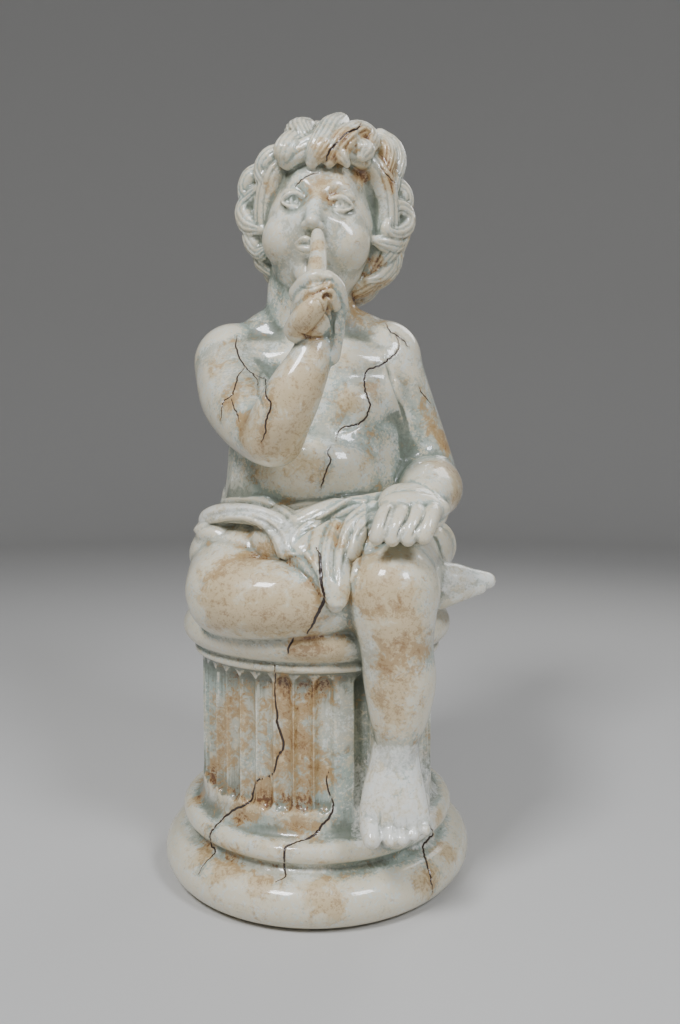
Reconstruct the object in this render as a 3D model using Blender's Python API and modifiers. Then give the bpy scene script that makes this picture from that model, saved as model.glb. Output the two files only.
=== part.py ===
"""A plaster cherub seated on a fluted column drum, cast in one piece. Metres, +Z up.

The origin is the middle of the underside. The column stands on its turned base, and the child sits on
the cap facing -Y: one leg hangs to the base, the other is folded across the cap's front edge, one
finger is at the lips and the other hand rests on the knee.
"""

import math

import bmesh
import bpy
import numpy as np
from mathutils import Euler, Matrix, Vector

# Column, in metres.
SHAFT_RADIUS = 0.1122
SHAFT_HEIGHT = 0.135
BASE_RING_HEIGHT = 0.041
BASE_RING_PROJECTION = 0.0358
UPPER_RING_HEIGHT = 0.0185
UPPER_RING_PROJECTION = 0.0188
SCOTIA_HEIGHT = 0.009
SCOTIA_PROJECTION = 0.0095
FOOT_FILLET_HEIGHT = 0.006
NECK_RING_HEIGHT = 0.009
NECK_RING_PROJECTION = 0.007
CAP_HEIGHT = 0.033
CAP_PROJECTION = 0.0174
SEAT_DISH_DEPTH = 0.003
COLUMN_SIDES = 40

# Flutes, in metres.
FLUTE_COUNT = 40
FLUTE_WIDTH = 0.0140
FLUTE_DEPTH = 0.0036
FLUTE_END_MARGIN = 0.015

# The plain pilaster left beside the hanging leg, and the web that ties the leg to the shaft, in metres.
PILASTER_LEFT = 0.016
PILASTER_RIGHT = 0.036
PILASTER_PROUD = 0.006
PANEL_DEPTH = 0.05
PANEL_TOP = -0.045
WEB_MIDDLE = 0.070
WEB_HALF_WIDTH = 0.013
WEB_FRONT = -0.112

# The figure. Its points are written in millimetres for a seated height of DRAWN_HEIGHT.
SEATED_HEIGHT = 0.462
DRAWN_HEIGHT = 462.0
VOXEL = 0.0024
SMOOTH_PASSES = 3
FIGURE_TRIANGLES = 5600

# Heights that follow from the column's own sizes.
SCOTIA_BOTTOM = BASE_RING_HEIGHT
UPPER_RING_BOTTOM = SCOTIA_BOTTOM + SCOTIA_HEIGHT
UPPER_RING_TOP = UPPER_RING_BOTTOM + UPPER_RING_HEIGHT
SHAFT_BOTTOM = UPPER_RING_TOP + FOOT_FILLET_HEIGHT
SHAFT_TOP = SHAFT_BOTTOM + SHAFT_HEIGHT
CAP_BOTTOM = SHAFT_TOP + NECK_RING_HEIGHT
SEAT_Z = CAP_BOTTOM + CAP_HEIGHT
MM = SEATED_HEIGHT / DRAWN_HEIGHT

# How far the hanging foot stays above the column's upper ring, in the figure's drawn millimetres.
FOOT_CLEAR = 9


def catmull_rom(p0, p1, p2, p3, t):
    """A point on the smooth curve from p1 to p2."""
    return 0.5 * (
        2 * p1 + (p2 - p0) * t + (2 * p0 - 5 * p1 + 4 * p2 - p3) * t**2 + (3 * p1 - p0 - 3 * p2 + p3) * t**3
    )


def resample(stations, steps):
    """Stations, each (x, y, z, half width, half depth), with smooth ones worked out in between."""
    rows = [Vector(s if len(s) == 5 else (*s, s[3])) for s in stations]
    ends = [2 * rows[0] - rows[1], *rows, 2 * rows[-1] - rows[-2]]
    found = []
    for i in range(len(rows) - 1):
        found += [catmull_rom(*ends[i : i + 4], k / steps) for k in range(steps)]
    return found + [rows[-1]]


def join(bm, other):
    """Adds one bmesh to another, and frees it."""
    mesh = bpy.data.meshes.new("joined")
    other.to_mesh(mesh)
    other.free()
    bm.from_mesh(mesh)
    bpy.data.meshes.remove(mesh)


def ring_matrix(centre, tangent, side, across, through):
    """Places a unit circle as one section of a loft."""
    normal = tangent.normalized()
    wide = (side - normal * side.dot(normal)).normalized()
    deep = normal.cross(wide)
    turn = Matrix((wide, deep, normal)).transposed().to_4x4()
    return Matrix.Translation(centre) @ turn @ Matrix.Diagonal((across, through, 1, 1))


def loft(bm, stations, side=(1, 0, 0), sides=12, steps=4, place=Matrix(), around=None):
    """A closed rounded limb through its stations, extruded ring by ring.

    The section's width lies along side, or, when around is a point, square to the way out from that point.
    """
    rows = resample(stations, steps)
    centres = [r.to_3d() for r in rows]
    widths = [(max(r[3], 0.5), max(r[4], 0.5)) for r in rows]
    tangents = [
        centres[min(i + 1, len(rows) - 1)] - centres[max(i - 1, 0)] for i in range(len(rows))
    ]
    rounded = [(math.sin(a), math.cos(a)) for a in (math.radians(d) for d in (75, 50, 25))]
    head, tail = tangents[0].normalized(), tangents[-1].normalized()
    depth = [min(widths[0]), min(widths[-1])]
    rings = [
        (centres[0] - head * depth[0] * s, head, widths[0][0] * c, widths[0][1] * c) for s, c in rounded
    ]
    rings += [(c, t, *w) for c, t, w in zip(centres, tangents, widths)]
    rings += [
        (centres[-1] + tail * depth[1] * s, tail, widths[-1][0] * c, widths[-1][1] * c)
        for s, c in reversed(rounded)
    ]
    flats = [Vector(side) if around is None else r[1].cross(r[0] - Vector(around)) for r in rings]
    matrices = [place @ ring_matrix(c, t, flat, w, d) for (c, t, w, d), flat in zip(rings, flats)]
    limb = bmesh.new()
    made = bmesh.ops.create_circle(limb, segments=sides, radius=1, cap_ends=True, matrix=matrices[0])
    edges = list({e for v in made["verts"] for e in v.link_edges})
    for last, here in zip(matrices, matrices[1:]):
        grown = bmesh.ops.extrude_edge_only(limb, edges=edges)["geom"]
        section = [v for v in grown if isinstance(v, bmesh.types.BMVert)]
        edges = [e for e in grown if isinstance(e, bmesh.types.BMEdge)]
        bmesh.ops.transform(limb, matrix=here @ last.inverted(), verts=section)
    bmesh.ops.contextual_create(limb, geom=edges)
    join(bm, limb)


def ball(bm, centre, radii, turn=(0, 0, 0), detail=3, place=Matrix()):
    """An ellipsoid, turned by degrees about X, Y and Z."""
    turned = Euler([math.radians(a) for a in turn]).to_matrix().to_4x4()
    shape = Matrix.Translation(Vector(centre)) @ turned @ Matrix.Diagonal((*radii, 1))
    solid = bmesh.new()
    bmesh.ops.create_icosphere(solid, subdivisions=detail, radius=1, matrix=place @ shape)
    join(bm, solid)


def torso(bm):
    loft(
        bm,
        [
            (0, 20, -6, 82, 62),
            (0, 20, 14, 98, 76),
            (0, 15, 45, 103, 80),
            (0, 9, 88, 97, 75),
            (0, 4, 127, 90, 70),
            (-1, 4, 167, 86, 63),
            (-2, 5, 205, 84, 57),
            (-3, 7, 236, 72, 48),
            (-4, 7, 260, 50, 42),
            (-4, 4, 280, 41, 40),
            (-2, 2, 305, 38, 39),
            (0, 0, 330, 36, 38),
        ],
        sides=24,
    )
    ball(bm, (0, -24, 128), (66, 48, 50))
    ball(bm, (33, -30, 188), (33, 26, 27), turn=(0, 12, 0))
    ball(bm, (-36, -30, 190), (33, 26, 27), turn=(0, -12, 0))
    ball(bm, (-44, 50, 30), (52, 48, 46))
    ball(bm, (44, 50, 30), (52, 48, 46))
    ball(bm, (-44, 34, 205), (34, 28, 38))
    ball(bm, (40, 34, 203), (34, 28, 38))
    loft(bm, [(-70, 6, 238, 28), (-42, 8, 253, 29), (-3, 8, 266, 33), (34, 8, 251, 29), (56, 6, 236, 28)])
    loft(bm, [(-76, -6, 226, 32), (-50, -12, 224, 32), (-16, -14, 226, 32), (20, -14, 226, 32), (66, -4, 224, 32)])
    loft(bm, [(66, -2, 214, 30), (54, -14, 200, 30), (38, -24, 190, 30)])
    loft(bm, [(-74, -6, 212, 32), (-58, -16, 198, 30), (-40, -24, 190, 30)])


def raised_arm(bm):
    """The child's right arm: elbow in front of the chest, forearm up to the lips."""
    ball(bm, (-80, 4, 232), (40, 38, 40))
    loft(bm, [(-80, 0, 226, 39, 38), (-72, -36, 197, 36, 35), (-56, -72, 174, 32, 31), (-38, -102, 157, 27, 26)])
    loft(
        bm,
        [
            (-34, -110, 155, 27, 25),
            (-25, -122, 172, 25, 24),
            (-13, -127, 195, 22, 21),
            (-2, -125, 217, 18, 17),
            (4, -123, 230, 16, 15),
        ],
    )
    ball(bm, (0, -130, 254), (18, 18, 23), turn=(0, 6, 0))
    ball(bm, (8, -130, 266), (17, 17, 18))
    loft(
        bm,
        [
            (2, -124, 270, 11, 10),
            (3, -117, 287, 9.6, 9.2),
            (4, -104, 306, 8.2, 8),
            (3.5, -91, 322, 7.4, 7.2),
            (3, -84, 330, 6.2, 6),
        ],
        steps=3,
    )
    for back, low, size in ((0, 0, 7), (3, 11, 6.5)):
        loft(
            bm,
            [
                (-11, -132 - back, 269 - low, size),
                (-1, -143 - back, 276 - low, size),
                (10, -146 - back, 277 - low, size),
                (20, -140 - back, 270 - low, size),
                (23, -130 - back, 259 - low, size),
            ],
            steps=3,
        )
    loft(bm, [(-13, -134, 240, 10), (-6, -145, 247, 10.5), (3, -150, 255, 9), (7, -150, 261, 6.5)], steps=3)
    loft(bm, [(20, -130, 256, 7.5), (18, -126, 240, 8), (14, -124, 222, 9)], steps=3)


def resting_arm(bm):
    """The child's left arm: down the side, hand on the knee."""
    ball(bm, (66, 4, 229), (37, 36, 37))
    loft(
        bm,
        [(68, 4, 222, 37, 36), (84, 12, 186, 34, 34), (98, 14, 152, 32, 33), (108, 6, 120, 31, 32)],
    )
    loft(bm, [(109, 4, 116, 31, 31), (107, -32, 112, 31, 29), (101, -68, 107, 28, 26), (94, -92, 101, 21, 18)])
    ball(bm, (84, -108, 99), (28, 32, 17), turn=(24, 6, 8))
    for i in range(4):
        x = 57 + 12.4 * i
        loft(
            bm,
            [
                (x + 8, -108, 94, 6.6, 7.6),
                (x + 5, -128, 96, 6.6, 7.8),
                (x + 1, -145, 93, 6.4, 7.4),
                (x - 4, -154, 83, 6.0, 6.8),
                (x - 7, -157, 74 + 1.2 * abs(i - 1.5), 5.4, 5.6),
            ],
            steps=3,
        )
    loft(bm, [(74, -96, 100, 10), (56, -108, 96, 9), (44, -120, 88, 7)], steps=3)


def hanging_leg(bm, ring_top):
    """The child's left leg. Its foot stands on the base ring, at the height ring_top above the seat."""
    loft(
        bm,
        [(68, 12, 38, 62, 52), (67, -30, 40, 54, 50), (66, -75, 36, 47, 46), (65, -108, 30, 43, 43)],
        sides=16,
    )
    ball(bm, (65, -119, 29), (41, 42, 41))
    drop = 15 - ring_top
    loft(
        bm,
        [
            (66, -124, 12, 37, 37),
            (69, -123, 15 - 0.17 * drop, 31, 32),
            (72, -121, 15 - 0.31 * drop, 31, 31),
            (71, -121, 15 - 0.47 * drop, 25, 26),
            (70, -123, 15 - 0.61 * drop, 19.5, 20),
            (69, -121, 15 - 0.75 * drop, 21, 22),
        ],
        sides=14,
    )
    loft(
        bm,
        [
            (69, -118, FOOT_CLEAR + ring_top + 76, 19, 20),
            (68, -122, FOOT_CLEAR + ring_top + 58, 21.5, 19),
            (67, -130, FOOT_CLEAR + ring_top + 40, 26, 17),
            (66.5, -138, FOOT_CLEAR + ring_top + 26, 28.5, 14),
            (66.5, -143, FOOT_CLEAR + ring_top + 14, 29, 10),
        ],
        sides=14,
    )
    ball(bm, (70, -106, FOOT_CLEAR + ring_top + 24), (19, 20, 24))
    for i in range(5):
        size = 10 if i == 0 else 7.4 - 0.5 * i
        x = 47.5 + (0 if i == 0 else 6 + 9.4 * i)
        y = -149 + 1.5 * abs(i - 1.1) ** 1.5
        rise = 11 + 2.6 * max(0, i - 2)
        ball(bm, (x, y, FOOT_CLEAR + ring_top + rise), (size, 13, size), turn=(40, 0, 0))


def folded_leg(bm):
    """The child's right leg: knee out to the side, calf across the front, foot out behind the other leg."""
    loft(
        bm,
        [(-50, 14, 38, 56, 50), (-62, -18, 38, 52, 47), (-71, -56, 33, 45, 43), (-73, -84, 25, 41, 40)],
        sides=16,
    )
    loft(
        bm,
        [
            (-74, -88, 20, 38, 37),
            (-50, -108, 20, 36, 35),
            (-14, -115, 21, 34, 33),
            (25, -106, 20, 31, 30),
            (62, -90, 17, 25, 24),
            (90, -76, 16, 19, 18),
        ],
        side=(0, 1, 0),
        sides=14,
    )
    ball(bm, (97, -66, 14), (17, 18, 17))
    loft(
        bm,
        [(92, -72, 22, 18, 21), (110, -67, 26, 18, 20.5), (126, -63, 26, 19, 17), (140, -60, 24, 18, 11)],
        side=(0, 1, 0),
    )
    loft(bm, [(128, -66, 33, 10, 9), (144, -64, 31, 9, 8.5), (156, -63, 28.5, 8.5, 8)], side=(0, 1, 0), steps=3)
    for i in range(4):
        size = 6.6 - 0.5 * i
        root = (128 - 2 * i, -74 + 6 * i, 21 - 3 * i, size)
        tip = (147 - 5 * i, -73 + 7 * i, 19.5 - 2.6 * i, size - 0.6)
        loft(bm, [root, tip], side=(0, 1, 0), steps=2)


def drapery(bm):
    """The cloth over the hips and lap, its rolled edge and its folds."""
    loft(
        bm,
        [(-118, -26, 79, 9), (-106, -52, 88, 9), (-78, -76, 93, 10), (-48, -90, 90, 10), (-20, -100, 78, 9)],
        steps=3,
    )
    loft(
        bm,
        [(-20, -102, 78, 10), (10, -98, 92, 9), (38, -96, 100, 9), (62, -88, 104, 9)],
        steps=3,
    )
    ball(bm, (-60, -38, 56), (58, 58, 36), turn=(8, -8, 20))
    ball(bm, (4, -74, 68), (64, 40, 32), turn=(24, 0, 0))
    ball(bm, (40, -72, 84), (44, 36, 22), turn=(10, 0, 0))
    loft(
        bm,
        [(4, -104, 70, 40, 16), (10, -124, 52, 26, 15), (17, -140, 34, 14, 12), (19, -148, 22, 8, 8)],
        steps=4,
    )
    for i in range(5):
        x = 46 - 15 * i
        loft(
            bm,
            [(x + 16, -112, 94 - 3 * i, 5), (x, -122, 76 - 2 * i, 5.5), (12 + 0.15 * x, -143, 42, 5)],
            steps=3,
        )
    hem = [
        (-121, -34, 52, 5),
        (-112, -62, 66, 5),
        (-92, -88, 76, 5),
        (-64, -104, 76, 5),
        (-42, -116, 62, 5),
        (-30, -125, 46, 5),
        (-12, -128, 46, 5),
        (4, -132, 30, 5),
    ]
    loft(bm, hem, steps=3)
    loft(bm, [(-118, -40, 66, 5), (-98, -72, 80, 5), (-66, -94, 84, 5), (-40, -106, 72, 5)], steps=3)
    loft(
        bm,
        [(0, 24, 6, 106, 82), (0, 24, 36, 112, 87), (0, 21, 68, 108, 83), (0, 17, 86, 100, 76)],
        sides=24,
    )
    around = [math.radians(-8 + 20 * k) for k in range(11)]
    loft(
        bm,
        [(99 * math.cos(a), 18 + 76 * math.sin(a), 88 + 4 * math.sin(3 * a), 7) for a in around],
        steps=3,
    )
    for i in range(6):
        top = math.radians(20 + 24 * i)
        fall = [(k / 4, top + math.radians(7 * k)) for k in range(5)]
        loft(
            bm,
            [(106 * math.cos(a), 22 + 82 * math.sin(a), 74 - 52 * t, 6.5 - 1.5 * t) for t, a in fall],
            steps=2,
        )
    ball(bm, (112, 10, 56), (26, 40, 30))
    for i in range(4):
        loft(
            bm,
            [
                (118, -28 + 14 * i, 82 - 2 * i, 5),
                (134, -22 + 16 * i, 66, 6),
                (136, -12 + 16 * i, 48, 5.5),
                (128, -4 + 14 * i, 32, 4.5),
            ],
            steps=3,
        )


HEAD_AT = Vector((6, -2, 363))
HEAD_TURN = (-3, 6, -4)


def head_place():
    turned = Euler([math.radians(a) for a in HEAD_TURN]).to_matrix().to_4x4()
    return Matrix.Translation(HEAD_AT) @ turned


def head(bm, place):
    """Skull, face and features in the head's own frame: x to the side, -y forward, z up."""
    ball(bm, (0, 12, 18), (56, 75, 62), place=place)
    ball(bm, (0, -18, -14), (51, 54, 56), place=place)
    ball(bm, (0, -16, -34), (45, 46, 44), place=place)
    ball(bm, (0, -50, -64), (15, 12, 12), place=place)
    loft(bm, [(0, -66, 0, 5, 5), (0, -73, -14, 6, 6), (0, -78, -26, 8, 7)], place=place, steps=3)
    ball(bm, (0, -66, -46), (13, 7, 6), place=place)
    for side in (-1, 1):
        ball(bm, (25 * side, -38, -34), (25, 26, 25), place=place)
        ball(bm, (56 * side, 6, -12), (7, 12, 18), place=place)


# Where the reference photograph was taken from, in metres, degrees and pixels.
CAMERA_AT = Vector((0.0222, -0.7524, 0.3774))
CAMERA_TILT = 2.86
FOCAL_PIXELS = 768
IMAGE_MIDDLE = (340, 512)

HAIR_MIDDLE = Vector((4, 14, 10))
HAIR_RADII = (63, 72, 72)

# The fringe and side locks that the photograph shows. Each station has its pixel, then the depth along Y,
# the half width and the half thickness in the figure's millimetres.
FRONT_LOCKS = {
    "left brow": [(284, 166, -60, 8, 6), (284, 152, -60, 12, 9), (294, 141, -50, 13, 10), (305, 139, -40, 10, 9)],
    "left crown": [(312, 150, -56, 8, 7), (302, 139, -52, 12, 9), (298, 130, -40, 13, 10), (306, 125, -24, 10, 8)],
    "middle": [
        (312, 166, -66, 8, 6),
        (317, 153, -68, 11.5, 9),
        (325, 140, -62, 13.5, 10),
        (332, 128, -48, 13, 10),
        (340, 121, -30, 11, 9),
    ],
    "right front": [
        (329, 163, -67, 7, 6),
        (336, 149, -68, 11, 8.5),
        (346, 138, -62, 12, 10),
        (359, 132, -50, 11, 10),
        (370, 139, -46, 10, 9),
        (368, 149, -54, 8, 7),
    ],
    "right brow": [(341, 147, -66, 6, 6), (342, 156, -68, 7, 6), (347, 164, -66, 4, 4)],
    "curl end": [(360, 143, -60, 7, 6), (366, 150, -62, 9, 8), (362, 157, -63, 6, 5)],
    "right rope": [(374, 141, -34, 8, 8), (384, 147, -34, 10, 9), (387, 162, -34, 10, 9), (384, 180, -38, 7, 6)],
    "right outer": [(380, 137, -16, 9, 9), (393, 148, -20, 10, 9), (397, 165, -22, 9, 9), (393, 184, -26, 8, 7)],
    "left temple": [(283, 151, -40, 9, 8), (271, 158, -38, 12, 10), (263, 172, -34, 11, 9), (268, 188, -40, 6, 6)],
    "left side": [(264, 168, -20, 9, 8), (252, 178, -14, 12, 10), (247, 194, -12, 11, 9), (256, 205, -20, 6, 6)],
    "left curl": [
        (259, 190, -28, 8, 7),
        (250, 200, -14, 11, 9),
        (245, 214, -10, 12, 10),
        (251, 227, -18, 11, 9),
        (263, 230, -30, 6, 5),
    ],
    "left drop": [(250, 226, -8, 8, 8), (252, 240, -12, 11, 9), (261, 252, -18, 9, 8), (268, 247, -28, 5, 5)],
    "left nape": [(258, 250, 0, 8, 7), (262, 262, -6, 9, 8), (271, 272, -10, 7, 6)],
    "right lump": [(392, 182, -22, 8, 8), (402, 192, -14, 11, 9), (405, 206, -12, 9, 8), (398, 212, -24, 5, 5)],
    "right ring": [
        (385, 213, -34, 6, 6),
        (396, 206, -26, 8, 7),
        (406, 214, -14, 9, 8),
        (406, 227, -14, 9, 8),
        (396, 234, -24, 8, 7),
        (386, 230, -34, 6, 6),
        (388, 222, -36, 4, 4),
    ],
    "right drop": [(374, 240, -34, 5, 5), (386, 243, -28, 9, 7), (397, 244, -16, 10, 8), (402, 236, -8, 7, 7)],
    "right nape": [(390, 256, -6, 8, 8), (388, 267, -8, 9, 8), (378, 278, -12, 8, 7), (367, 281, -20, 5, 5)],
    "low nape": [(376, 280, 2, 9, 8), (367, 288, 0, 9, 8), (357, 295, -4, 5, 5)],
}


def at_pixel(u, v, depth):
    """The point, in the figure's millimetres, that a pixel of the photograph shows on the plane y = depth."""
    tilt = math.radians(CAMERA_TILT)
    across = (u - IMAGE_MIDDLE[0]) / FOCAL_PIXELS
    up = (IMAGE_MIDDLE[1] - v) / FOCAL_PIXELS
    way = Vector((across, math.cos(tilt) + up * math.sin(tilt), up * math.cos(tilt) - math.sin(tilt)))
    point = CAMERA_AT + way * (depth * MM - CAMERA_AT.y) / way.y
    return (point - Vector((0, 0, SEAT_Z))) / MM


def scalp(direction, lift):
    """The point where a direction from the middle of the head meets the hair's inner ellipsoid, plus lift."""
    d = direction.normalized()
    return HAIR_MIDDLE + Vector([(r + lift) * c for r, c in zip(HAIR_RADII, d)])


def lock(bm, place, azimuth, elevation, heading, length, curl, width, lift):
    """A curl of hair that walks over the scalp. Azimuth 0 is the face, heading 0 is down, both in degrees."""
    a, e, h = math.radians(azimuth), math.radians(elevation), math.radians(heading)
    d = Vector((math.sin(a) * math.cos(e), -math.cos(a) * math.cos(e), math.sin(e)))
    east = Vector((math.cos(a), math.sin(a), 0))
    going = east.cross(d).normalized() * math.cos(h) + east * math.sin(h)
    going = (going - d * going.dot(d)).normalized()
    count = 8
    stations = []
    for i in range(count):
        t = i / (count - 1)
        swell = math.sin(math.pi * (0.12 + 0.80 * t)) ** 0.7
        rise = lift + 8 * math.sin(math.pi * min(1, 0.2 + t * 0.9))
        stations.append((*scalp(d, rise), width * swell, 0.72 * width * swell))
        step = length / (count - 1) / 74
        d = (d + going * step).normalized()
        turn = math.radians(curl) * (0.25 + 1.5 * t) / (count - 1)
        going = Matrix.Rotation(turn, 3, d) @ going
        going = (going - d * going.dot(d)).normalized()
    loft(bm, stations, sides=8, steps=2, place=place, around=HAIR_MIDDLE)


def hair(bm, place):
    """A cap under the curls, the locks that the photograph shows, then rows of curls round the back."""
    ball(bm, (3, 18, 12), (62, 68, 71), turn=(12, 0, 0), place=place)
    ball(bm, (2, -18, 44), (52, 38, 38), place=place)
    for side in (-1, 1):
        ball(bm, (4 + 51 * side, 6, -6), (16, 40, 40), place=place)
        ball(bm, (3 + 40 * side, -14, 36), (22, 28, 30), place=place)
    to_head = place.inverted()
    for route in FRONT_LOCKS.values():
        stations = [(*(to_head @ at_pixel(*station[:3])), *station[3:]) for station in route]
        loft(bm, stations, sides=10, steps=3, place=place, around=HAIR_MIDDLE)
    rows = (
        (80, 6, 11.5, 30),
        (62, 9, 11.5, 60),
        (42, 11, 11.5, 82),
        (22, 12, 11.5, 84),
        (3, 12, 11.5, 84),
        (-16, 11, 11, 84),
        (-32, 8, 10, 84),
    )
    for row, (elevation, count, width, opening) in enumerate(rows):
        for i in range(count):
            azimuth = opening + (360 - 2 * opening) * (i + 0.5 * (row % 2)) / (count - 0.5)
            way = 1 if (i + row) % 2 else -1
            lock(bm, place, azimuth, elevation, 40 * way, 50, -110 * way, width, 3)


def pilaster_and_web(bm, foot_z):
    """The plain strip beside the hanging leg, and the web that ties the leg to the shaft."""
    low = foot_z + 0.67 * FOOT_FILLET_HEIGHT
    middle = 0.5 * (PILASTER_LEFT + PILASTER_RIGHT)
    front = -math.sqrt(SHAFT_RADIUS**2 - middle**2) - PILASTER_PROUD
    for left, right, face in (
        (PILASTER_LEFT, PILASTER_RIGHT, front),
        (WEB_MIDDLE - WEB_HALF_WIDTH, WEB_MIDDLE + WEB_HALF_WIDTH, WEB_FRONT),
    ):
        size = Vector((right - left, PANEL_DEPTH, PANEL_TOP - low))
        centre = Vector((0.5 * (left + right), face + 0.5 * size.y, 0.5 * (low + PANEL_TOP)))
        shape = Matrix.Translation(centre / MM) @ Matrix.Diagonal((*(size / MM), 1))
        bmesh.ops.create_cube(bm, size=1, matrix=shape)


def figure_mesh():
    """The child, the pilaster and the web as one bmesh of overlapping forms, in metres above the ground."""
    bm = bmesh.new()
    ring_top = (UPPER_RING_TOP - SEAT_Z) / MM
    torso(bm)
    raised_arm(bm)
    resting_arm(bm)
    hanging_leg(bm, ring_top)
    folded_leg(bm)
    drapery(bm)
    head(bm, head_place())
    hair(bm, head_place())
    pilaster_and_web(bm, UPPER_RING_TOP - SEAT_Z)
    bmesh.ops.transform(bm, matrix=Matrix.Translation((0, 0, SEAT_Z)) @ Matrix.Scale(MM, 4), verts=bm.verts)
    bmesh.ops.recalc_face_normals(bm, faces=bm.faces)
    mesh = bpy.data.meshes.new("figure")
    bm.to_mesh(mesh)
    bm.free()
    return mesh


def add_modifier(obj, kind, **settings):
    modifier = obj.modifiers.new(kind.title(), kind)
    for name, value in settings.items():
        setattr(modifier, name, value)


def evaluated_mesh(obj):
    graph = bpy.context.evaluated_depsgraph_get()
    return bpy.data.meshes.new_from_object(obj.evaluated_get(graph))


def keep_largest_shell(mesh):
    """Deletes every shell but the one with most faces, such as the wall of a sealed hollow."""
    bm = bmesh.new()
    bm.from_mesh(mesh)
    unseen = set(bm.verts)
    shells = []
    while unseen:
        shell, front = set(), [unseen.pop()]
        while front:
            v = front.pop()
            shell.add(v)
            near = [e.other_vert(v) for e in v.link_edges]
            front += [n for n in near if n in unseen]
            unseen.difference_update(near)
        shells.append(shell)
    largest = max(shells, key=len)
    bmesh.ops.delete(bm, geom=[v for s in shells if s is not largest for v in s], context="VERTS")
    bm.to_mesh(mesh)
    bm.free()


def push(mesh, place, centre, reach, move):
    """Pushes the skin round a point by move, fading to nothing at reach. Points are in millimetres."""
    points = np.empty(3 * len(mesh.vertices), dtype=np.float32)
    mesh.vertices.foreach_get("co", points)
    points = points.reshape(-1, 3)
    to_world = Matrix.Translation((0, 0, SEAT_Z)) @ Matrix.Scale(MM, 4) @ place
    middle = np.array(to_world @ Vector(centre))
    near = np.linalg.norm(points - middle, axis=1) / (reach * MM)
    weight = np.clip(1 - near**2, 0, None) ** 2
    points += weight[:, None] * np.array(to_world.to_3x3() @ Vector(move))
    mesh.vertices.foreach_set("co", points.ravel())


def face_and_belly_hollows(mesh, place):
    """Eye sockets with the eyeballs left standing in them, the parting of the lips, and the navel."""
    for side in (-1, 1):
        push(mesh, place, (21 * side, -66, 2), 20, (0, 9, 0))
        push(mesh, place, (21 * side, -60, -1), 10, (0, -4, 0))
        push(mesh, place, (24 * side, -66, 14), 18, (0, -3, 0))
    push(mesh, place, (0, -73, -45), 8, (0, 2.5, 0))
    push(mesh, Matrix(), (0, -86, 104), 9, (0, 6, 0))


def figure(collection):
    """One closed skin round the figure's forms, softened and reduced to a few thousand facets."""
    obj = bpy.data.objects.new("figure", figure_mesh())
    collection.objects.link(obj)
    add_modifier(obj, "REMESH", mode="VOXEL", voxel_size=VOXEL)
    add_modifier(obj, "SMOOTH", factor=0.5, iterations=SMOOTH_PASSES)
    mesh = evaluated_mesh(obj)
    keep_largest_shell(mesh)
    face_and_belly_hollows(mesh, head_place())
    mesh.calc_loop_triangles()
    share = FIGURE_TRIANGLES / len(mesh.loop_triangles)
    obj.modifiers.clear()
    obj.data = mesh
    add_modifier(obj, "DECIMATE", ratio=share, use_collapse_triangulate=True)
    obj.data = evaluated_mesh(obj)
    obj.modifiers.clear()
    return obj


def arc(middle_r, middle_z, across, up, first, last, count):
    """Points on an ellipse's arc, from one angle to another, in degrees from straight out."""
    angles = [math.radians(first + (last - first) * i / (count - 1)) for i in range(count)]
    return [(middle_r + across * math.cos(a), middle_z + up * math.sin(a)) for a in angles]


def column_profile():
    """The column's outline, (radius, height), from the middle of the seat down its outer side."""
    cap_r = SHAFT_RADIUS + CAP_PROJECTION
    upper_r = SHAFT_RADIUS + UPPER_RING_PROJECTION
    base_r = SHAFT_RADIUS + BASE_RING_PROJECTION
    neck_r = SHAFT_RADIUS + NECK_RING_PROJECTION
    waist_r = SHAFT_RADIUS + SCOTIA_PROJECTION
    half_cap = 0.5 * CAP_HEIGHT
    half_upper = 0.5 * UPPER_RING_HEIGHT
    half_base = 0.5 * BASE_RING_HEIGHT
    return [
        (0.0, SEAT_Z - SEAT_DISH_DEPTH),
        *arc(cap_r - half_cap, CAP_BOTTOM + half_cap, half_cap, half_cap, 95, -60, 7),
        (neck_r - 0.002, CAP_BOTTOM),
        *arc(neck_r - 0.003, SHAFT_TOP + 0.004, 0.003, 0.003, 60, -60, 3),
        (SHAFT_RADIUS, SHAFT_TOP - 0.002),
        (SHAFT_RADIUS, SHAFT_BOTTOM + 0.003),
        (SHAFT_RADIUS + 0.004, UPPER_RING_TOP),
        *arc(upper_r - half_upper, UPPER_RING_BOTTOM + half_upper, half_upper, half_upper, 65, -65, 6),
        (waist_r, SCOTIA_BOTTOM + 0.45 * SCOTIA_HEIGHT),
        (waist_r + 0.003, SCOTIA_BOTTOM + 0.001),
        *arc(base_r - half_base, half_base, half_base, half_base, 70, -70, 8),
        (base_r - half_base, 0.0),
        (0.0, 0.0),
    ]


def turned_column(collection):
    """The drum with its cap and base, a profile turned about the axis."""
    profile = column_profile()
    mesh = bpy.data.meshes.new("column")
    mesh.from_pydata([(r, 0, z) for r, z in profile], [(i, i + 1) for i in range(len(profile) - 1)], [])
    obj = bpy.data.objects.new("column", mesh)
    collection.objects.link(obj)
    add_modifier(
        obj,
        "SCREW",
        steps=COLUMN_SIDES,
        render_steps=COLUMN_SIDES,
        use_merge_vertices=True,
        merge_threshold=0.00001,
    )
    return obj


def behind_leg(angle):
    """Whether a flute at this angle would run under the pilaster, the web or the leg."""
    x = SHAFT_RADIUS * math.sin(angle)
    return math.cos(angle) > 0 and PILASTER_LEFT < x < 0.071 + WEB_HALF_WIDTH


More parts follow.
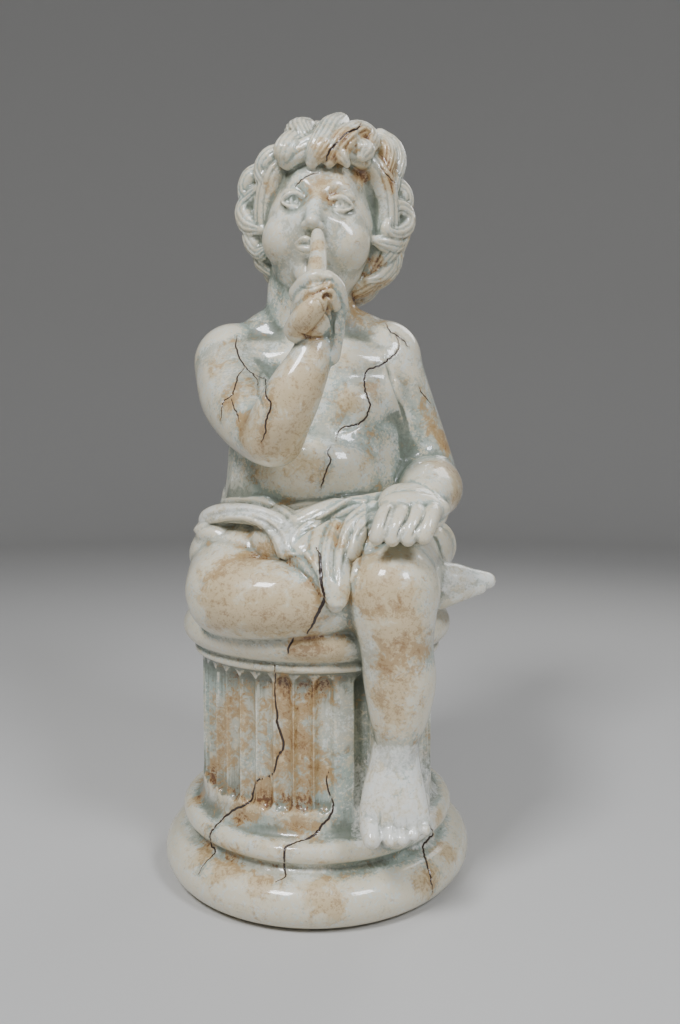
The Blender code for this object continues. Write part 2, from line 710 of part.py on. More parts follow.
def flute_cutter(collection):
    """All the flutes' cutters in one mesh: balls stretched to upright rods, sunk to the flute's depth."""
    half = 0.5 * FLUTE_WIDTH
    radius = (half**2 + FLUTE_DEPTH**2) / (2 * FLUTE_DEPTH)
    low = SHAFT_BOTTOM + FLUTE_END_MARGIN
    high = SHAFT_TOP - FLUTE_END_MARGIN
    bm = bmesh.new()
    for i in range(FLUTE_COUNT):
        angle = math.tau * (i + 0.5) / FLUTE_COUNT
        if behind_leg(angle):
            continue
        out = SHAFT_RADIUS - FLUTE_DEPTH + radius
        direction = Vector((math.sin(angle), -math.cos(angle), 0))
        foot = Matrix.Translation(direction * out + Vector((0, 0, low)))
        rod = bmesh.ops.create_uvsphere(bm, u_segments=12, v_segments=6, radius=radius, matrix=foot)
        top = [v for v in rod["verts"] if v.co.z > low + 0.01 * radius]
        bmesh.ops.translate(bm, vec=(0, 0, high - low), verts=top)
    mesh = bpy.data.meshes.new("flutes")
    bm.to_mesh(mesh)
    bm.free()
    obj = bpy.data.objects.new("flutes", mesh)
    obj.hide_render = True
    obj.display_type = "WIRE"
    collection.objects.link(obj)
    return obj


def plaster():
    """Painted and varnished plaster, ivory with ochre stains."""
    material = bpy.data.materials.new("painted plaster")
    material.use_nodes = True
    shader = material.node_tree.nodes["Principled BSDF"]
    shader.inputs["Base Color"].default_value = (0.62, 0.56, 0.45, 1)
    shader.inputs["Roughness"].default_value = 0.38
    return material


def main():
    for obj in list(bpy.data.objects):
        bpy.data.objects.remove(obj)
    model = bpy.data.collections.new("cherub on a column")
    helpers = bpy.data.collections.new("cutters")
    for collection in (model, helpers):
        bpy.context.scene.collection.children.link(collection)
    statue = turned_column(model)
    statue.name = "cherub_on_column"
    add_modifier(statue, "BOOLEAN", operation="DIFFERENCE", object=flute_cutter(helpers))
    child = figure(helpers)
    child.hide_render = True
    child.display_type = "WIRE"
    add_modifier(statue, "BOOLEAN", operation="UNION", object=child)
    statue.data = evaluated_mesh(statue)
    statue.modifiers.clear()
    keep_largest_shell(statue.data)
    statue.data.materials.append(plaster())


main()
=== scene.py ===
# Varnished plaster cherub on a fluted column drum, for Blender 4.5. Metres, +Z up.
# The figure is built up from rounded forms, skinned as one casting, then carved and stained.
import math
import random
import time

import bmesh
import bpy
import numpy as np
from mathutils import Euler, Matrix, Vector
from mathutils.bvhtree import BVHTree
from mathutils.kdtree import KDTree


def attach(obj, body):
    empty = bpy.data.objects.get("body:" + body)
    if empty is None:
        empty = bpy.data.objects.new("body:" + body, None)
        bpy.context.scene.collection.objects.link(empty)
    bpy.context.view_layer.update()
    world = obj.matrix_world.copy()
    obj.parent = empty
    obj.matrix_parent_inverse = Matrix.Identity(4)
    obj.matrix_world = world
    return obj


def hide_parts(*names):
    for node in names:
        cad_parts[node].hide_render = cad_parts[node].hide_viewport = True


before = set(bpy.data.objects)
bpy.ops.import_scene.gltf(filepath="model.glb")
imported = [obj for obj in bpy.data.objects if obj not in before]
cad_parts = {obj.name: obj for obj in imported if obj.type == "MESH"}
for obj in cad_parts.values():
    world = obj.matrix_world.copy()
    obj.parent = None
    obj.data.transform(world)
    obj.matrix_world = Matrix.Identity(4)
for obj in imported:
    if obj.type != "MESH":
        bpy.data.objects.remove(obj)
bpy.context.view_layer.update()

# The photograph's camera, in metres, degrees and pixels.
camera = {
    "place": (0.0222, -0.7524, 0.3774),
    "tiltDown": 2.86,
    "lens": 27,
    "sensor": 36,
    "frame": (680, 1024),
}
tilt = math.radians(camera["tiltDown"])
ahead = (0, math.cos(tilt), -math.sin(tilt))
above = (0, math.sin(tilt), math.cos(tilt))
focal = camera["lens"] / camera["sensor"] * camera["frame"][1]

# The column, in millimetres.
column = {
    "shaftRadius": 112.2,
    "shaftBottom": 74.5,
    "shaftTop": 209.5,
    "baseRing": 41.0,
    "baseOut": 35.8,
    "upperRing": 18.5,
    "upperOut": 18.8,
    "scotia": 9.0,
    "scotiaOut": 9.5,
    "neckRing": 9.0,
    "neckOut": 7.0,
    "cap": 33.0,
    "capOut": 17.4,
    "dish": 3.0,
    "steps": 12,
    "flutes": 40,
    "fluteShare": 0.9,
    "fluteDepth": 6.4,
    "fluteLow": 13.0,
    "fluteHigh": 3.0,
    "fluteRound": 0.5,
    "strip": 1,
    "channelDepth": 9.0,
    "channelRound": 0.25,
}
seatZ = column["shaftTop"] + column["neckRing"] + column["cap"]
toMetres = Matrix.Translation((0, 0, seatZ / 1000)) @ Matrix.Scale(0.001, 4)

skin = {"bodyVoxel": 1.9, "bodyPasses": 45, "clothVoxel": 1.6, "clothPasses": 4, "voxel": 1.25, "passes": 2}
budget = {"triangles": 139000}


started = time.perf_counter()


def report(stage):
    print(f"{time.perf_counter() - started:6.1f} s  {stage}")


# Loft helpers

def between(p0, p1, p2, p3, t):
    return 0.5 * (
        2 * p1 + (p2 - p0) * t + (2 * p0 - 5 * p1 + 4 * p2 - p3) * t**2 + (3 * p1 - p0 - 3 * p2 + p3) * t**3
    )


def smoothRows(stations, steps):
    rows = [Vector(s if len(s) == 5 else (*s, s[3])) for s in stations]
    ends = [2 * rows[0] - rows[1], *rows, 2 * rows[-1] - rows[-2]]
    found = []
    for i in range(len(rows) - 1):
        found += [between(*ends[i:i + 4], k / steps) for k in range(steps)]
    return found + [rows[-1]]


def joinInto(bm, other):
    mesh = bpy.data.meshes.new("joined")
    other.to_mesh(mesh)
    other.free()
    bm.from_mesh(mesh)
    bpy.data.meshes.remove(mesh)


def ringMatrix(centre, tangent, side, across, through):
    normal = tangent.normalized()
    wide = (side - normal * side.dot(normal)).normalized()
    turn = Matrix((wide, normal.cross(wide), normal)).transposed().to_4x4()
    return Matrix.Translation(centre) @ turn @ Matrix.Diagonal((across, through, 1, 1))


def loft(bm, stations, side=(1, 0, 0), sides=14, steps=5, place=Matrix(), around=None):
    # around is the point that a lock's flat side turns to; without it side stays as given
    rows = smoothRows(stations, steps)
    centres = [r.to_3d() for r in rows]
    sizes = [(max(r[3], 0.4), max(r[4], 0.4)) for r in rows]
    last = len(rows) - 1
    tangents = [centres[min(i + 1, last)] - centres[max(i - 1, 0)] for i in range(len(rows))]
    rounding = [(math.sin(a), math.cos(a)) for a in (math.radians(d) for d in (78, 60, 40, 20))]
    head, tail = tangents[0].normalized(), tangents[-1].normalized()
    rings = [
        (centres[0] - head * min(sizes[0]) * s, head, sizes[0][0] * c, sizes[0][1] * c) for s, c in rounding
    ]
    rings += [(c, t, *w) for c, t, w in zip(centres, tangents, sizes)]
    rings += [
        (centres[-1] + tail * min(sizes[-1]) * s, tail, sizes[-1][0] * c, sizes[-1][1] * c)
        for s, c in reversed(rounding)
    ]
    flats = [Vector(side) if around is None else r[1].cross(r[0] - Vector(around)) for r in rings]
    matrices = [place @ ringMatrix(*r[:2], flat, *r[2:]) for r, flat in zip(rings, flats)]
    limb = bmesh.new()
    made = bmesh.ops.create_circle(limb, segments=sides, radius=1, cap_ends=True)["verts"]
    bmesh.ops.transform(limb, matrix=matrices[0], verts=made)
    edges = list({e for v in made for e in v.link_edges})
    for before, here in zip(matrices, matrices[1:]):
        grown = bmesh.ops.extrude_edge_only(limb, edges=edges)["geom"]
        section = [v for v in grown if isinstance(v, bmesh.types.BMVert)]
        edges = [e for e in grown if isinstance(e, bmesh.types.BMEdge)]
        bmesh.ops.transform(limb, matrix=here @ before.inverted(), verts=section)
    bmesh.ops.contextual_create(limb, geom=edges)
    joinInto(bm, limb)
    return matrices


def ball(bm, centre, radii, turn=(0, 0, 0), place=Matrix()):
    turned = Euler([math.radians(a) for a in turn]).to_matrix().to_4x4()
    shape = Matrix.Translation(Vector(centre)) @ turned @ Matrix.Diagonal((*radii, 1))
    solid = bmesh.new()
    bmesh.ops.create_icosphere(solid, subdivisions=4, radius=1, matrix=place @ shape)
    joinInto(bm, solid)


def skinned(bm, voxel, passes, name):
    # one closed skin round the forms in a bmesh, softened
    bmesh.ops.recalc_face_normals(bm, faces=bm.faces)
    mesh = bpy.data.meshes.new(name)
    bm.to_mesh(mesh)
    bm.free()
    obj = bpy.data.objects.new(name, mesh)
    bpy.context.scene.collection.objects.link(obj)
    remesh = obj.modifiers.new("skin", "REMESH")
    remesh.mode = "VOXEL"
    remesh.voxel_size = voxel
    if passes:
        soften = obj.modifiers.new("soften", "SMOOTH")
        soften.factor = 0.5
        soften.iterations = passes
    done = bpy.data.meshes.new_from_object(obj.evaluated_get(bpy.context.evaluated_depsgraph_get()))
    bpy.data.objects.remove(obj)
    bpy.data.meshes.remove(mesh)
    return done


# Body forms, in millimetres above the seat's middle; the figure faces -Y

def torso(bm):
    loft(bm, [
        (0, 20, -6, 82, 62), (0, 20, 14, 98, 76), (0, 15, 45, 102, 80), (0, 9, 88, 95, 74),
        (0, 4, 127, 89, 69), (-1, 4, 167, 86, 63), (-2, 5, 205, 84, 57), (-3, 7, 236, 72, 48),
        (-4, 7, 260, 50, 42), (-6, 4, 280, 44, 41), (-6, 2, 305, 42, 40), (-3, 0, 330, 39, 39),
    ], sides=28)
    ball(bm, (0, -24, 126), (66, 49, 50))
    ball(bm, (33, -30, 188), (34, 26, 27), turn=(0, 12, 0))
    ball(bm, (-36, -30, 190), (34, 26, 27), turn=(0, -12, 0))
    ball(bm, (-44, 50, 30), (52, 48, 46))
    ball(bm, (44, 50, 30), (52, 48, 46))
    ball(bm, (-40, 27, 205), (38, 28, 44))
    ball(bm, (36, 27, 203), (38, 28, 44))
    loft(bm, [(-70, 6, 238, 28), (-42, 8, 258, 30), (-3, 8, 268, 33), (34, 8, 256, 31), (60, 6, 244, 31)])
    loft(bm, [(-76, -6, 226, 32), (-50, -12, 224, 32), (-16, -14, 226, 32), (20, -14, 226, 32),
              (52, -10, 224, 30), (66, -2, 224, 32)])
    loft(bm, [(66, -2, 214, 30), (54, -14, 200, 30), (38, -24, 190, 30)])
    loft(bm, [(-74, -6, 212, 32), (-58, -16, 198, 30), (-40, -24, 190, 30)])


def raisedArm(bm):
    ball(bm, (-80, 4, 232), (40, 38, 40))
    loft(bm, [(-80, 0, 226, 39, 38), (-72, -36, 197, 36, 35), (-56, -72, 174, 32, 31),
              (-38, -102, 157, 27, 26)])
    loft(bm, [
        (-34, -110, 155, 27, 25), (-25, -122, 172, 25.5, 24), (-13, -127, 195, 23, 21.5),
        (-3, -126, 215, 19, 17.5), (2, -124, 228, 17, 15.5),
    ])


def fist(bm):
    # the thumb's mass, the curled fingers over it, the raised finger and the hand's far edge
    ball(bm, (0, -130, 254), (18, 18, 23), turn=(0, 6, 0))
    ball(bm, (8, -130, 266), (17, 17, 18))
    loft(bm, [(1, -127, 266, 12, 12), (2.5, -119, 284, 9.4, 10), (4, -106, 303, 7.8, 8.6),
              (3.5, -93, 320, 6.8, 7.4), (3, -86, 329, 5.6, 6)], steps=4)
    loft(bm, [(-12, -132, 270, 7), (-2, -143, 277, 7), (10, -146, 278, 7), (20, -140, 271, 7),
              (23, -130, 259, 6.5)], steps=4)
    loft(bm, [(-8, -140, 262, 6), (2, -148, 267, 6), (12, -149, 266, 6), (18, -142, 258, 5.5)], steps=4)
    loft(bm, [(-13, -134, 240, 10), (-6, -145, 247, 10.5), (3, -150, 255, 9), (7, -150, 261, 6.5)], steps=4)
    loft(bm, [(20, -130, 256, 7.5), (18, -126, 240, 8), (14, -124, 222, 9)], steps=4)


def restingArm(bm):
    ball(bm, (65, 4, 236), (37, 36, 39))
    loft(bm, [(68, 4, 222, 37, 36), (84, 12, 186, 34, 34), (98, 14, 152, 32, 33), (108, 6, 120, 31, 32)])
    loft(bm, [(109, 4, 116, 31, 31), (107, -32, 112, 31, 29), (101, -68, 108, 27, 25),
              (95, -90, 104, 21, 18)])


def restingHand(bm):
    ball(bm, (84, -106, 98), (30, 32, 17), turn=(24, 6, 8))
    ball(bm, (83, -126, 99), (30, 17, 12.5), turn=(12, 4, 6))
    for i in range(4):
        x = 57.5 + 12.2 * i
        loft(bm, [
            (x + 11, -94, 86, 6.5, 6.5), (x + 7, -114, 91, 7.2, 7.2), (x + 4, -132, 95, 7.7, 8.2),
            (x, -147, 92, 7.4, 7.8), (x - 4, -155, 83, 6.9, 7.0),
            (x - 7, -158, 74 + 1.4 * abs(i - 1.4), 6.0, 5.8),
        ], steps=4)


def hangingLeg(bm):
    ringTop = column["shaftBottom"] - 6 - seatZ
    drop = 15 - ringTop
    loft(bm, [(68, 12, 38, 62, 52), (67, -30, 40, 54, 50), (66, -75, 36, 47, 46), (65, -108, 30, 43, 43)],
         sides=18)
    ball(bm, (65, -119, 29), (41, 42, 41))
    loft(bm, [
        (66, -124, 12, 37, 37), (69, -123, 15 - 0.17 * drop, 31, 32), (72, -121, 15 - 0.31 * drop, 31, 31),
        (71, -121, 15 - 0.47 * drop, 25, 26), (69.5, -122, 15 - 0.58 * drop, 18, 19.5),
        (69, -121, 15 - 0.72 * drop, 19, 21),
    ], sides=18)


def hangingFoot(bm):
    sole = column["shaftBottom"] + 3 - seatZ
    loft(bm, [
        (69, -118, sole + 76, 19, 20), (68, -122, sole + 58, 21.5, 19), (67, -130, sole + 40, 26, 17),
        (66.5, -138, sole + 26, 28.5, 14), (66.5, -143, sole + 14, 29, 10),
    ], sides=20)
    ball(bm, (70, -106, sole + 26), (20, 21, 26))
    for i in range(5):
        size = 9.6 if i == 0 else 7.4 - 0.5 * i
        x = 47.5 + (0 if i == 0 else 5.6 + 9.4 * i)
        y = -134 + 1.5 * abs(i - 1.1) ** 1.5
        rise = sole + 2.4 * max(0, i - 2)
        loft(bm, [(x + 2, y + 8, rise + 22, size), (x, y - 6, rise + 18, size), (x, y - 15, rise + 13, size),
                  (x, y - 22, rise + 9, 0.8 * size)], steps=3)


def foldedLeg(bm):
    loft(bm, [(-50, 14, 38, 56, 50), (-62, -18, 38, 52, 47), (-71, -56, 33, 45, 43), (-73, -84, 25, 41, 40)],
         sides=18)
    loft(bm, [
        (-74, -88, 20, 38, 37), (-50, -108, 20, 36, 35), (-14, -115, 21, 34, 33), (25, -106, 20, 31, 30),
        (62, -90, 17, 25, 24), (90, -76, 16, 19, 18),
    ], side=(0, 1, 0), sides=18)
    ball(bm, (97, -66, 14), (17, 18, 17))
    loft(bm, [(92, -72, 22, 18, 21), (110, -68, 26, 18, 21), (126, -65, 29, 17, 18),
              (138, -63, 29.5, 14, 13)], side=(0, 1, 0))


def foldedToes(bm):
    # the big toe is uppermost and reaches furthest; the others lie under it as one edge
    loft(bm, [(130, -65, 34, 10, 9), (146, -64, 31.5, 9, 8), (155, -63, 29.5, 8, 7.8)], side=(0, 1, 0),
         steps=4)
    loft(bm, [(112, -73, 16, 11), (130, -71, 21, 9), (147, -68, 24, 6.5)], side=(0, 1, 0), steps=4)


def cloth(bm):
    # the rolled edge, the sheet over both thighs, its folds and the pendant tip
    loft(bm, [(-102, -40, 80, 5), (-96, -56, 86, 7), (-78, -74, 90, 8), (-48, -89, 88, 8), (-20, -99, 77, 7)],
         steps=4)
    loft(bm, [(-30, -98, 72, 7), (-2, -101, 88, 8), (22, -98, 96, 8), (48, -92, 101, 8), (66, -86, 104, 8)],
         steps=4)
    ball(bm, (-60, -38, 56), (58, 58, 36), turn=(8, -8, 20))
    ball(bm, (4, -74, 68), (64, 40, 32), turn=(24, 0, 0))
    ball(bm, (40, -72, 84), (44, 36, 22), turn=(10, 0, 0))
    ball(bm, (44, -108, 77), (15, 13, 15))
    for fold in (
        ((51, -104, 99, 5), (32, -115, 83, 6), (24, -126, 64, 5)),
        ((54, -110, 93, 5), (40, -121, 78, 6), (32, -129, 61, 5)),
        ((56, -117, 86, 5), (50, -126, 70, 5.5), (45, -128, 61, 5)),
    ):
        loft(bm, fold, steps=4)
    ball(bm, (-84, -50, 72), (26, 28, 13))
    loft(bm, [(4, -104, 70, 40, 16), (10, -124, 52, 26, 15), (17, -140, 34, 13, 11), (19, -147, 22, 7, 7)])
    loft(bm, [(0, 24, 6, 106, 82), (0, 24, 36, 112, 87), (0, 21, 68, 108, 83), (0, 17, 86, 100, 76)],
         sides=28)
    around = [math.radians(-8 + 20 * k) for k in range(11)]
    loft(bm, [(99 * math.cos(a), 18 + 76 * math.sin(a), 88 + 4 * math.sin(3 * a), 7) for a in around],
         steps=4)
    for i in range(11):
        top = math.radians(8 + 15 * i)
        reach = (1.0, 0.62, 0.85)[i % 3]
        fold = []
        for k in range(6):
            # the fold swells out with the hips under it and thins as it falls
            t = reach * k / 5
            a = top + math.radians((9 if i % 2 else 5) * k * reach)
            swell = 44 * t * (1 - 0.86 * t)
            x, y = (100 + swell) * math.cos(a), 17 + 6 * t + (76 + swell) * math.sin(a)
            fold.append((x, y, 88 - 82 * t, 6 - 4 * k / 5))
        loft(bm, fold, steps=4)
    ball(bm, (106, 8, 54), (28, 58, 31))
    for i in range(4):
        loft(bm, [(108, -20 + 14 * i, 82 - 2 * i, 5), (124, -16 + 15 * i, 70, 6), (130, -8 + 15 * i, 52, 5.5),
                  (122, 2 + 13 * i, 30, 4)], steps=4)


# Head, in its own frame: x to the side, -y forward, z up from the middle

headTurn = Euler([math.radians(a) for a in (-3, 6, -4)])
headPlace = Matrix.Translation((6, -2, 363)) @ headTurn.to_matrix().to_4x4()


def skull(bm):
    ball(bm, (0, 12, 18), (56, 75, 62), place=headPlace)
    ball(bm, (0, -18, -14), (51, 54, 56), place=headPlace)
    ball(bm, (0, -16, -34), (45, 46, 44), place=headPlace)
    ball(bm, (0, -50, -64), (15, 12, 12), place=headPlace)
    loft(bm, [(0, -64, 2, 6, 6), (0, -72, -14, 6.5, 6), (0, -77, -25, 8, 7)], place=headPlace)
    for side in (-1, 1):
        ball(bm, (25 * side, -39, -30), (25, 26, 25), place=headPlace)


eyes = {"apart": 20.5, "forward": -51.5, "up": -2.0, "radius": 11.3, "iris": 4.7, "irisReach": 1.4,
        "irisDepth": 0.8, "pupil": 3.0, "pupilDepth": 1.8}


def eyeAt(side):
    return Vector((eyes["apart"] * side, eyes["forward"], eyes["up"]))


def irisRoutes():
    # the ring that is cut in each eyeball
    deep = math.sqrt(eyes["radius"] ** 2 - eyes["iris"] ** 2)
    turns = [math.radians(15 * k) for k in range(25)]
    return [
        [headPlace @ (eyeAt(side) + Vector((eyes["iris"] * math.cos(a), -deep, eyes["iris"] * math.sin(a))))
         for a in turns]
        for side in (-1, 1)
    ]


def faceDetail(bm):
    # eyeballs with their lids, the nose's wings and the lips
    for side in (-1, 1):
        eye = eyeAt(side)
        ball(bm, eye, [eyes["radius"]] * 3, place=headPlace)
        ball(bm, eye + Vector((0, 0.4, 8.0)), (13, 9.6, 6.0), turn=(-14, 0, 0), place=headPlace)
        ball(bm, eye + Vector((1.5 * side, 1.6, -9.4)), (14.5, 9.2, 6.2), turn=(14, 0, 0), place=headPlace)
        for lift, spread, thick in ((6.6, 12.4, 2.0), (-6.0, 12.0, 1.5)):
            rim = []
            for k in range(7):
                t = -1 + k / 3
                x = eye.x + spread * t
                z = eye.z + lift * (1 - t * t) - 0.8 * abs(t)
                deep = math.sqrt(max(12.8**2 - (0.85 * spread * t) ** 2 - (z - eye.z) ** 2, 20))
                rim.append((x, eye.y - deep, z, thick * (1.15 - 0.5 * t * t)))
            loft(bm, rim, side=(0, 0, 1), sides=8, steps=3, place=headPlace)
        ball(bm, (6.2 * side, -73.5, -27), (4.0, 4.6, 4.0), place=headPlace)
        loft(bm, [(0.6 * side, -76.3, -41, 2.6, 2.6), (5 * side, -75.6, -39.4, 3.0, 3.2),
                  (11 * side, -71.5, -41.2, 1.9, 2.2), (15 * side, -67.5, -42.4, 1.0, 1.2)],
             side=(0, 0, 1), sides=10, steps=3, place=headPlace)
        loft(bm, [(0, -74.2, -48, 3.6, 3.6), (6 * side, -73, -47.6, 3.4, 3.4),
                  (12 * side, -69.4, -44.6, 1.8, 2.0)], side=(0, 0, 1), sides=10, steps=3, place=headPlace)
    ball(bm, (0, -79, -25), (5.8, 4.8, 5.0), place=headPlace)


# Hair: flat locks that lie on the scalp, each with strands combed along it

hair = {
    "middle": (4, 14, 10),
    "radii": (62, 72, 72),
    "strandPitch": 6.0,
    "finePitch": 4.4,
    "fineLocks": ("left crown", "middle", "right front", "right rope", "right outer"),
    "strandDepth": 1.05,
    "strandReach": 1.7,
    "beds": 12,
    "bedOpening": 76,
    "bedWidth": 14,
    "bedLength": 150,
    "bedTop": 66,
    "bedLean": 12,
    "bedCurl": 30,
    "bedLift": -4.5,
    "stations": 9,
    "lockDepth": 0.72,
    "lockRise": 8,
    "turning": 74,
    "fan": 62,
    # what the seeded draw varies: degrees either way, heading, length, curl, and mm either way
    "stray": 4,
    "lean": (18, 62),
    "length": (48, 68),
    "curl": (70, 170),
    "spread": 1.5,
    "taper": 0.85,
    "rows": [
        (80, 6, 11.5, 30), (62, 9, 11.5, 60), (42, 11, 11.5, 82), (22, 12, 11.5, 84), (3, 12, 11.5, 84),
        (-16, 11, 11, 84), (-32, 8, 10, 84),
    ],
    "seed": 7,
}
strands = []


def combed(bm, stations, pitch):
    # a lock and the grooves between its strands, which are carved once the casting is skinned
    ends = [(*s[:3], hair["taper"] * s[3], hair["taper"] * s[4]) for s in (stations[0], stations[-1])]
    stations = [ends[0], *stations[1:-1], ends[1]]
    matrices = loft(bm, stations, sides=16, steps=3, place=headPlace, around=hair["middle"])
    widest = max(s[3] for s in stations)
    lines = max(2, round(2 * widest / pitch))
    for i in range(lines):
        a = math.radians(-hair["fan"] + 2 * hair["fan"] * (i + 0.5) / lines)
        strands.append([m @ Vector((math.sin(a), -math.cos(a), 0)) for m in matrices[3:-2]])
        strands.append([m @ Vector((math.sin(a), math.cos(a), 0)) for m in matrices[3:-2]])


def scalp(direction, lift):
    d = direction.normalized()
    mid, radii = hair["middle"], hair["radii"]
    return Vector([m + (r + lift) * c for m, r, c in zip(mid, radii, d)])


def lock(bm, azimuth, elevation, heading, length, curl, width, lift=3.0):
    # azimuth 0 is the face and heading 0 is down, in degrees; the lock rises, rolls over and tucks in
    a, e, h = (math.radians(v) for v in (azimuth, elevation, heading))
    d = Vector((math.sin(a) * math.cos(e), -math.cos(a) * math.cos(e), math.sin(e)))
    east = Vector((math.cos(a), math.sin(a), 0))
    going = east.cross(d).normalized() * math.cos(h) + east * math.sin(h)
    going = (going - d * going.dot(d)).normalized()
    last = hair["stations"] - 1
    stations = []
    for i in range(last + 1):
        t = i / last
        swell = math.sin(math.pi * (0.12 + 0.80 * t)) ** 0.7
        rise = lift + hair["lockRise"] * math.sin(math.pi * min(1, 0.2 + t * 0.9))
        stations.append((*scalp(d, rise), width * swell, hair["lockDepth"] * width * swell))
        d = (d + going * length / last / hair["turning"]).normalized()
        bend = curl * (0.25 + 1.5 * t)
        going = Matrix.Rotation(math.radians(bend) / last, 3, d) @ going
        going = (going - d * going.dot(d)).normalized()
    combed(bm, stations, hair["strandPitch"])


# The locks that the photograph shows: pixels, the depth in front of the seat's middle, half width, half depth
frontLocks = {
    "left bed": [
        (284, 160, -40, 11, 10), (273, 178, -36, 13, 12), (267, 203, -27, 13, 12), (267, 230, -20, 13, 12),
        (272, 254, -12, 10, 10),
    ],
    "right bed": [
        (366, 156, -42, 11, 10), (379, 178, -38, 13, 12), (386, 204, -29, 13, 12), (385, 232, -22, 13, 12),
        (376, 258, -12, 12, 11), (364, 280, -6, 11, 10),
    ],
    "fringe bed": [
        (287, 162, -53, 10, 8), (300, 152, -56, 12, 10), (322, 144, -56, 13, 11), (346, 148, -57, 13, 10),
        (362, 160, -52, 11, 9),
    ],
    "left brow": [(283, 163, -54, 7, 5), (284, 152, -58, 12, 9), (294, 141, -50, 13, 10),
                  (305, 139, -40, 10, 9)],
    "left crown": [(312, 152, -58, 8, 6), (302, 139, -52, 12, 9), (298, 130, -40, 13, 10),
                   (306, 125, -24, 10, 8)],
    "middle": [
        (311, 163, -63, 7, 5), (317, 152, -66, 11.5, 9), (325, 140, -62, 13.5, 10), (332, 128, -48, 13, 10),
        (340, 121, -30, 11, 9),
    ],
    "right front": [
        (329, 162, -65, 7, 5), (336, 149, -66, 11, 8.5), (346, 138, -62, 12, 10), (359, 132, -50, 11, 10),
        (370, 139, -46, 10, 9), (368, 149, -54, 8, 7),
    ],
    "right brow": [(341, 147, -66, 6, 6), (342, 156, -68, 7, 6), (347, 164, -66, 4, 4)],
    "curl end": [(360, 143, -60, 7, 6), (366, 150, -62, 9, 8), (362, 157, -63, 6, 5)],
    "right rope": [(374, 141, -34, 8, 8), (384, 147, -34, 10, 9), (387, 162, -34, 10, 9),
                   (384, 180, -38, 7, 6)],
    "right outer": [(380, 137, -16, 9, 9), (393, 148, -20, 10, 9), (397, 165, -22, 9, 9),
                    (393, 184, -26, 8, 7)],
    "left temple": [(283, 151, -40, 9, 8), (271, 158, -38, 12, 10), (263, 172, -34, 11, 9),
                    (268, 188, -40, 6, 6)],
    "left side": [(264, 168, -20, 9, 8), (252, 178, -14, 12, 10), (247, 194, -12, 11, 9),
                  (256, 205, -20, 6, 6)],
    "left curl": [
        (259, 190, -28, 8, 7), (250, 200, -14, 11, 9), (245, 214, -10, 12, 10), (251, 227, -18, 11, 9),
        (263, 230, -30, 6, 5),
    ],
    "left drop": [(250, 226, -8, 8, 8), (252, 240, -12, 11, 9), (261, 252, -18, 9, 8), (268, 247, -28, 5, 5)],
    "left nape": [(258, 250, 0, 8, 7), (262, 262, -6, 9, 8), (271, 272, -10, 7, 6)],
    "right lump": [(392, 182, -22, 8, 8), (402, 192, -14, 11, 9), (405, 206, -12, 9, 8),
                   (398, 212, -24, 5, 5)],
    "right ring": [
        (385, 213, -34, 6, 6), (396, 206, -26, 8, 7), (406, 214, -14, 9, 8), (406, 227, -14, 9, 8),
        (396, 234, -24, 8, 7), (386, 230, -34, 6, 6), (388, 222, -36, 4, 4),
    ],
    "right drop": [(374, 240, -34, 5, 5), (386, 243, -28, 9, 7), (397, 244, -16, 10, 8),
                   (402, 236, -8, 7, 7)],
    "right nape": [(390, 256, -6, 8, 8), (388, 267, -8, 9, 8), (378, 278, -12, 8, 7), (367, 281, -20, 5, 5)],
    "low nape": [(376, 280, 2, 9, 8), (367, 288, 0, 9, 8), (357, 295, -4, 5, 5)],
}


def alongPixel(u, v):
    # the direction from the camera through a pixel of the photograph
    wide, high = camera["frame"]
    aside = Vector(((u - wide / 2) / focal, 0, 0))
    return (Vector(ahead) + aside + Vector(above) * (high / 2 - v) / focal).normalized()


def atPixel(u, v, depth):
    # the point in the figure's millimetres that a pixel shows on the plane y = depth
    way = alongPixel(u, v)
    start = Vector(camera["place"])
    point = start + way * (depth / 1000 - start.y) / way.y
    return point * 1000 - Vector((0, 0, seatZ))


def allHair(bm):
    ball(bm, (3, 18, 12), (62, 68, 71), turn=(12, 0, 0), place=headPlace)
    ball(bm, (2, -18, 44), (52, 38, 38), place=headPlace)
    for side in (-1, 1):
        ball(bm, (4 + 50 * side, 10, -6), (12, 34, 38), place=headPlace)
        ball(bm, (3 + 40 * side, -14, 36), (22, 28, 30), place=headPlace)
    toHead = headPlace.inverted()
    for name, route in frontLocks.items():
        pitch = hair["finePitch"] if name in hair["fineLocks"] else hair["strandPitch"]
        combed(bm, [(*(toHead @ atPixel(*place[:3])), *place[3:]) for place in route], pitch)
    for i in range(hair["beds"]):
        way = 1 if i % 2 else -1
        azimuth = hair["bedOpening"] + (360 - 2 * hair["bedOpening"]) * i / (hair["beds"] - 1)
        lock(bm, azimuth, hair["bedTop"], hair["bedLean"] * way, hair["bedLength"], -hair["bedCurl"] * way,
             hair["bedWidth"], hair["bedLift"])
    dice = random.Random(hair["seed"])
    stray, spread = hair["stray"], hair["spread"]
    for row, (elevation, count, width, opening) in enumerate(hair["rows"]):
        for i in range(count):
            azimuth = opening + (360 - 2 * opening) * (i + 0.5 * (row % 2)) / (count - 0.5)
            way = 1 if (i + row) % 2 else -1
            lock(bm, azimuth + dice.uniform(-stray, stray), elevation + dice.uniform(-stray, stray),
                 dice.uniform(*hair["lean"]) * way, dice.uniform(*hair["length"]),
                 -dice.uniform(*hair["curl"]) * way, width + dice.uniform(-spread, spread))


# Column: one profile spun round, its flutes pressed in, and the plain strip beside the leg

def arc(middleR, middleZ, size, first, last, count):
    angles = [math.radians(first + (last - first) * i / (count - 1)) for i in range(count)]
    return [(middleR + size * math.cos(a), middleZ + size * math.sin(a)) for a in angles]


